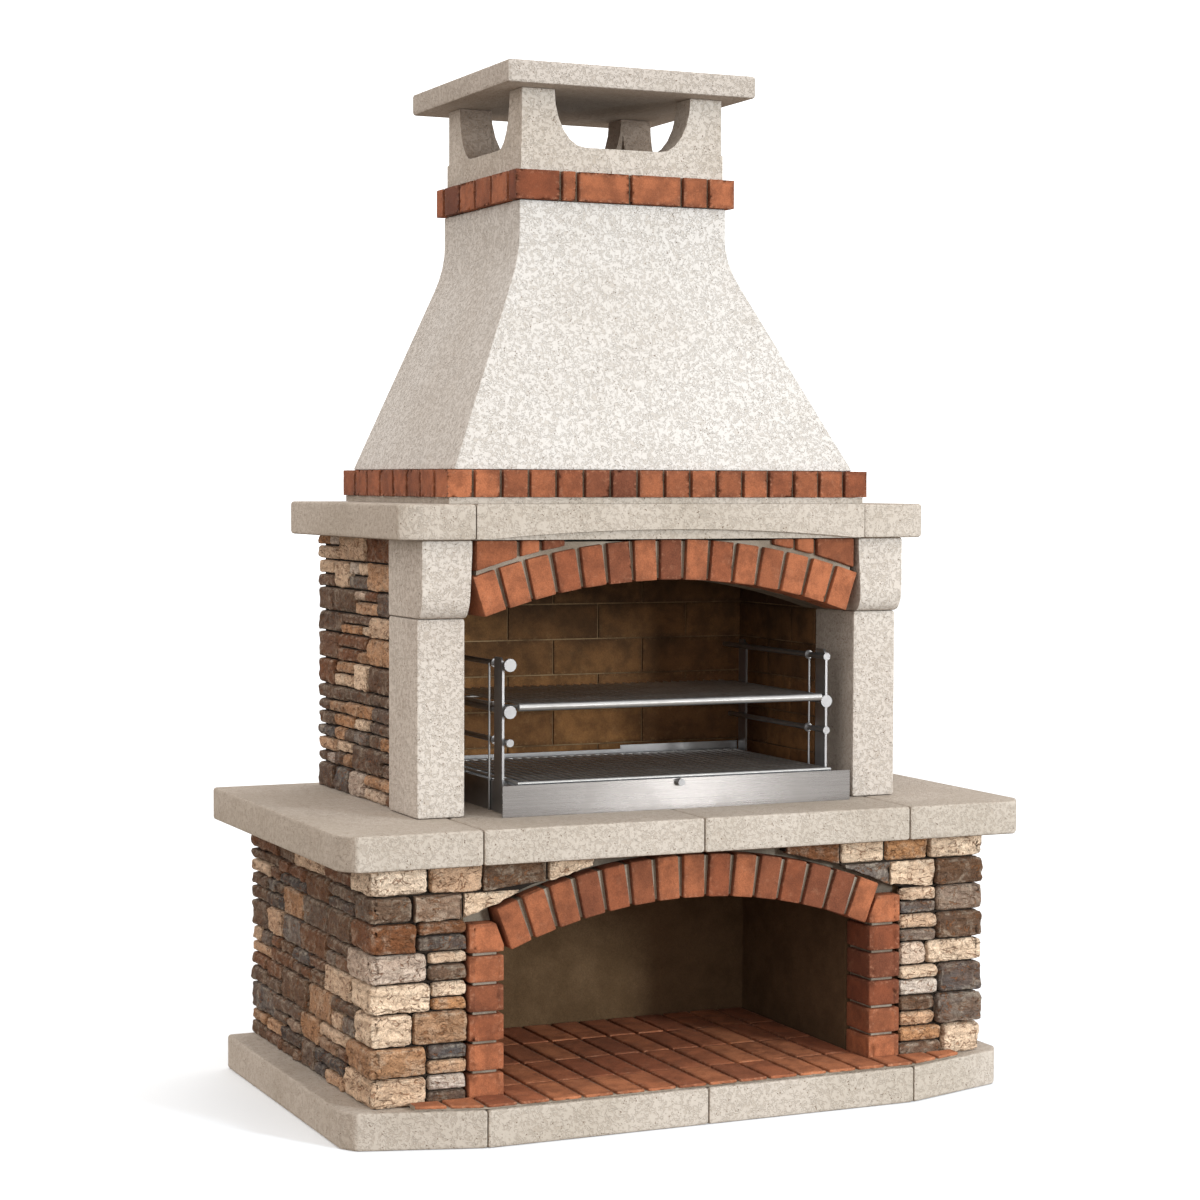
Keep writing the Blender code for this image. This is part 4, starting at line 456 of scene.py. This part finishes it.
def find_units(bm, beds):
    """The faces of each brick or stone, split at the folds where it meets its mortar bed."""
    seen = set()
    for face in bm.faces:
        centre = face.calc_center_median()
        for normal, offset in beds:
            axis = Vector(normal)
            if face.normal.dot(axis) > FACING and abs(centre.dot(axis) - offset) < BED_TOLERANCE:
                seen.add(face)
    units = []
    for face in bm.faces:
        if face in seen:
            continue
        seen.add(face)
        stack, unit = [face], []
        while stack:
            member = stack.pop()
            unit.append(member)
            for edge in member.edges:
                if len(edge.link_faces) != 2 or edge.calc_face_angle_signed(0.0) < -FOLD:
                    continue
                for other in edge.link_faces:
                    if other not in seen:
                        seen.add(other)
                        stack.append(other)
        spots = [vert.co for member in unit for vert in member.verts]
        spans = [max(spot[i] for spot in spots) - min(spot[i] for spot in spots) for i in range(3)]
        if max(spans) < UNIT_LONGEST:
            units.append(unit)
    return units


def copy_faces(faces, target, index=0, smooth=False):
    """Copies faces into another mesh, leaves out doubles, and returns the corners' copies."""
    copies = {}
    for face in faces:
        corners = []
        for vert in face.verts:
            if vert not in copies:
                copies[vert] = target.verts.new(vert.co)
            corners.append(copies[vert])
        if not target.faces.get(corners):
            made = target.faces.new(corners)
            made.material_index = index
            made.smooth = smooth
    return copies


def unit_mesh(unit, edge_round, detail):
    """A unit's own mesh with rounded edges, cut finely enough to be made uneven."""
    bm = bmesh.new()
    copy_faces(unit, bm)
    bm.normal_update()
    bmesh.ops.dissolve_limit(bm, angle_limit=FOLD, verts=bm.verts, edges=bm.edges)
    bm.normal_update()
    sharp = [edge for edge in bm.edges
             if len(edge.link_faces) == 2 and edge.calc_face_angle(0.0) > SHARP]
    bmesh.ops.bevel(bm, geom=sharp, offset=edge_round, offset_type="OFFSET", affect="EDGES",
                    segments=ROUND_SEGMENTS, profile=ROUND_PROFILE, clamp_overlap=True)
    bmesh.ops.triangulate(bm, faces=bm.faces, quad_method="BEAUTY", ngon_method="BEAUTY")
    for _ in range(MOST_CUTS):
        long_edges = [edge for edge in bm.edges if edge.calc_length() > detail]
        if not long_edges:
            break
        bmesh.ops.subdivide_edges(bm, edges=long_edges, cuts=1)
        bmesh.ops.triangulate(bm, faces=bm.faces)
    bm.normal_update()
    return bm


def roughen(bm, beds, rough, dice):
    """Makes a unit uneven, the more so the further it stands from the bed.
    Returns each corner's distance from the unit's rim, as a share of the worn width."""
    shift = Vector(dice.uniform(-NOISE_SPREAD, NOISE_SPREAD) for _ in range(3))
    spots = [vert.co.copy() for vert in bm.verts]
    low = Vector(min(spot[i] for spot in spots) for i in range(3))
    high = Vector(max(spot[i] for spot in spots) for i in range(3))
    centre = (low + high) / 2
    tilt = Vector(dice.uniform(-1.0, 1.0) for _ in range(3))
    held = {vert for edge in bm.edges if edge.is_boundary for vert in edge.verts}
    rims = {}
    moved = []
    for vert, place in zip(bm.verts, spots):
        inside = [min(place[i] - low[i], high[i] - place[i]) for i in range(3)
                  if abs(vert.normal[i]) < EDGEWISE]
        rims[vert] = min(1.0, min(inside, default=EDGE_WEAR) / EDGE_WEAR)
        if vert in held:
            continue
        above = [place.dot(Vector(normal)) - offset for normal, offset in beds]
        share = min(1.0, max(0.0, max(above, default=DEPTH_FADE)) / DEPTH_FADE)
        swell = noise.noise(place * SWELL_WAVES + shift)
        layered = (place.x * LEDGE_ACROSS, place.y * LEDGE_ACROSS, place.z * LEDGE_UP)
        ledge = noise.noise(Vector(layered) + shift)
        chip = abs(noise.noise(place * CHIP_WAVES + shift))
        lean = max(-MOST_LEAN, min(MOST_LEAN, (place - centre).dot(tilt) * LEAN))
        push = SWELL_SHARE * swell + rough["layers"] * ledge - CHIP_SHARE * chip + lean
        wander = noise.noise_vector(place * WANDER_WAVES + shift) * rough["shake"]
        moved.append((vert, (vert.normal * (push * rough["depth"]) + wander) * share))
    for vert, move in moved:
        vert.co += move
    return rims


def sink(verts, beds, depth):
    """Moves the points that lie on the bed deeper, so that the joints are deep."""
    for vert in verts:
        place = vert.co.copy()
        for normal, offset in beds:
            axis = Vector(normal)
            if abs(place.dot(axis) - offset) < BED_TOLERANCE:
                vert.co -= axis * depth


def lay_units(node, beds, keys, rough):
    """Stands separate rough units and their mortar bed for a node of bricks or stones."""
    dice = random.Random(node)
    source = welded(node)
    whole = bmesh.new()
    tones = whole.verts.layers.float.new("tone")
    rim_layer = whole.verts.layers.float.new("rim")
    gone = set()
    for unit in find_units(source, beds):
        gone.update(unit)
        side = min(vert.co.y for face in unit for vert in face.verts) > FRONT_WALL
        # a side wall's stones draw from darker tones: painted shade
        low, high = rough["shaded_side_tones"] if side else rough["front_tones"]
        piece = unit_mesh(unit, rough["round"], rough["detail"])
        rims = roughen(piece, beds, rough, dice)
        tone = dice.uniform(low, high)
        for vert, copy in copy_faces(piece.faces, whole, smooth=True).items():
            copy[tones] = tone
            copy[rim_layer] = rims[vert]
        piece.free()
    copy_faces([face for face in source.faces if face not in gone], whole, index=1)
    source.free()
    sink(whole.verts, beds, rough["sink"])
    place_piece(node, whole, keys)


# The planes of each node's mortar bed: the way that it faces, and how far out it lies
LEFT, RIGHT, FRONT, BACK, UP = (-1, 0, 0), (1, 0, 0), (0, -1, 0), (0, 1, 0), (0, 0, 1)
BRICKS = {
    "floor_bricks": [(UP, 0.084), (LEFT, 0.6381), (RIGHT, 0.6381)],
    "brick_pier_left": [(FRONT, 0.407), (RIGHT, -0.434), (LEFT, 0.503)],
    "brick_pier_right": [(FRONT, 0.407), (LEFT, -0.434), (RIGHT, 0.503)],
    "lower_arch_bricks": [(FRONT, 0.414), (BACK, -0.310)],
    "upper_arch_bricks": [(FRONT, 0.2955)],
    "hood_trim_bricks": [(FRONT, 0.260), (LEFT, 0.495), (RIGHT, 0.495), (BACK, 0.4045)],
    "neck_trim_bricks": [(FRONT, 0.0615), (LEFT, 0.261), (RIGHT, 0.261), (BACK, 0.418)],
}
STONES = {
    "lower_stones_left": [(LEFT, 0.710), (FRONT, 0.401)],
    "lower_stones_right": [(RIGHT, 0.710), (FRONT, 0.401)],
    "upper_stones_left": [(LEFT, 0.549)],
    "upper_stones_right": [(RIGHT, 0.549)],
}
FIREBRICKS = {
    "firebrick_back": [(FRONT, -0.2835)],
    "firebrick_left": [(RIGHT, -0.4655)],
    "firebrick_right": [(LEFT, -0.4655)],
}
BRICK_ROUGH = {"round": 0.0045, "detail": 0.014, "depth": 0.0012, "shake": 0.0006, "layers": 0.1,
               "sink": 0.0085, "shaded_side_tones": (0.0, 1.0), "front_tones": (0.0, 1.0)}
FLOOR_ROUGH = {**BRICK_ROUGH, "round": 0.0030, "sink": 0.0015}
FIRE_ROUGH = {**BRICK_ROUGH, "round": 0.0015, "detail": 0.020, "depth": 0.0008, "sink": 0.0005}
# the side walls' lower tones paint their shade
STONE_ROUGH = {"round": 0.0110, "detail": 0.008, "depth": 0.0055, "shake": 0.0028, "layers": 0.5,
               "sink": 0.0080, "shaded_side_tones": (0.0, 0.76), "front_tones": (0.04, 1.0)}
UPPER_STONE_ROUGH = {**STONE_ROUGH, "shaded_side_tones": (0.04, 0.98)}

for node, beds in BRICKS.items():
    if node == "floor_bricks":
        lay_units(node, beds, ["floor_brick", "pale_joint"], FLOOR_ROUGH)
    else:
        lay_units(node, beds, ["brick", "pale_joint"], BRICK_ROUGH)
for node, beds in FIREBRICKS.items():
    lay_units(node, beds, ["firebrick", "soot_joint"], FIRE_ROUGH)
for node, beds in STONES.items():
    rough = STONE_ROUGH if node.startswith("lower") else UPPER_STONE_ROUGH
    lay_units(node, beds, ["stone", "dark_joint"], rough)

OWN_KEY = {"tray_fascia": "fascia", "hood": "hood", "cowl": "cowl", "cap_slab": "cap"}
GRATES = ("charcoal_grate", "cooking_grid")
POSTLIKE = ("column_left", "column_right", "corbel_left", "corbel_right")
SMOOTH_METAL = 66.0
SMOOTH_CAST = 33.0
for node in sorted(frame["nodes"]):
    if node in BRICKS or node in STONES or node in FIREBRICKS:
        continue
    if node in OWN_KEY:
        dress(node, OWN_KEY[node], SMOOTH_CAST)
    elif node in GRATES:
        dress(node, "grate", SMOOTH_METAL)
    elif node_slot(node) == "steel":
        dress(node, "steel", SMOOTH_METAL)
    elif node in POSTLIKE:
        dress(node, "post", SMOOTH_CAST)
    elif node_slot(node) in ("render", "core"):
        dress(node, node_slot(node), SMOOTH_CAST)
    else:
        dress(node, "slab", SMOOTH_CAST)

# Floor, light and camera
reach = FLOOR_SIZE / 2
floor_mesh = bpy.data.meshes.new("studio_floor")
floor_mesh.from_pydata([(-reach, -reach, 0.0), (reach, -reach, 0.0), (reach, reach, 0.0),
                        (-reach, reach, 0.0)], [], [(0, 1, 2, 3)])
floor = bpy.data.objects.new("studio_floor", floor_mesh)
floor_mesh.materials.append(pale_floor("studio_floor"))
bpy.context.scene.collection.objects.link(floor)
floor.visible_diffuse = False
floor.visible_glossy = False

# The white walls light the object from above, and the dim warm ground from below
world = bpy.data.worlds.new("studio")
world.use_nodes = True
tree = world.node_tree
spot = tree.nodes.new("ShaderNodeTexCoord")
split = tree.nodes.new("ShaderNodeSeparateXYZ")
tree.links.new(spot.outputs["Generated"], split.inputs["Vector"])
share = tree.nodes.new("ShaderNodeMapRange")
share.inputs["From Min"].default_value = HORIZON[0]
share.inputs["From Max"].default_value = HORIZON[1]
tree.links.new(split.outputs["Z"], share.inputs["Value"])
blend = tree.nodes.new("ShaderNodeMix")
blend.data_type = "RGBA"
tree.links.new(share.outputs["Result"], blend.inputs[0])
blend.inputs[6].default_value = GROUND
blend.inputs[7].default_value = SKY
tree.links.new(blend.outputs[2], tree.nodes["Background"].inputs["Color"])
bpy.context.scene.world = world

for name, (place, aim, size, power, colour, in_gloss) in LAMPS.items():
    light = bpy.data.lights.new(name, "AREA")
    light.shape = "RECTANGLE"
    light.size, light.size_y = size
    light.energy = power
    light.color = colour
    lamp = bpy.data.objects.new(name, light)
    lamp.location = place
    lamp.rotation_euler = (Vector(aim) - Vector(place)).to_track_quat("-Z", "Y").to_euler()
    lamp.visible_glossy = in_gloss
    bpy.context.scene.collection.objects.link(lamp)

yaw, pitch, roll = (math.radians(angle) for angle in (CAMERA_YAW, CAMERA_PITCH, CAMERA_ROLL))
forward = Vector((math.sin(yaw) * math.cos(pitch), math.cos(yaw) * math.cos(pitch),
                  -math.sin(pitch)))
level = Vector((math.cos(yaw), -math.sin(yaw), 0.0))
upright = level.cross(forward)
across = level * math.cos(roll) + upright * math.sin(roll)
upright = upright * math.cos(roll) - level * math.sin(roll)
lens = bpy.data.cameras.new("photo_camera")
lens.lens = CAMERA_LENS
lens.sensor_width = SENSOR
camera = bpy.data.objects.new("photo_camera", lens)
camera.matrix_world = Matrix((
    (across.x, upright.x, -forward.x, CAMERA_PLACE[0]),
    (across.y, upright.y, -forward.y, CAMERA_PLACE[1]),
    (across.z, upright.z, -forward.z, CAMERA_PLACE[2]),
    (0.0, 0.0, 0.0, 1.0)))
bpy.context.scene.collection.objects.link(camera)
bpy.context.scene.camera = camera
bpy.context.scene.view_settings.view_transform = "Standard"

bpy.context.view_layer.update()
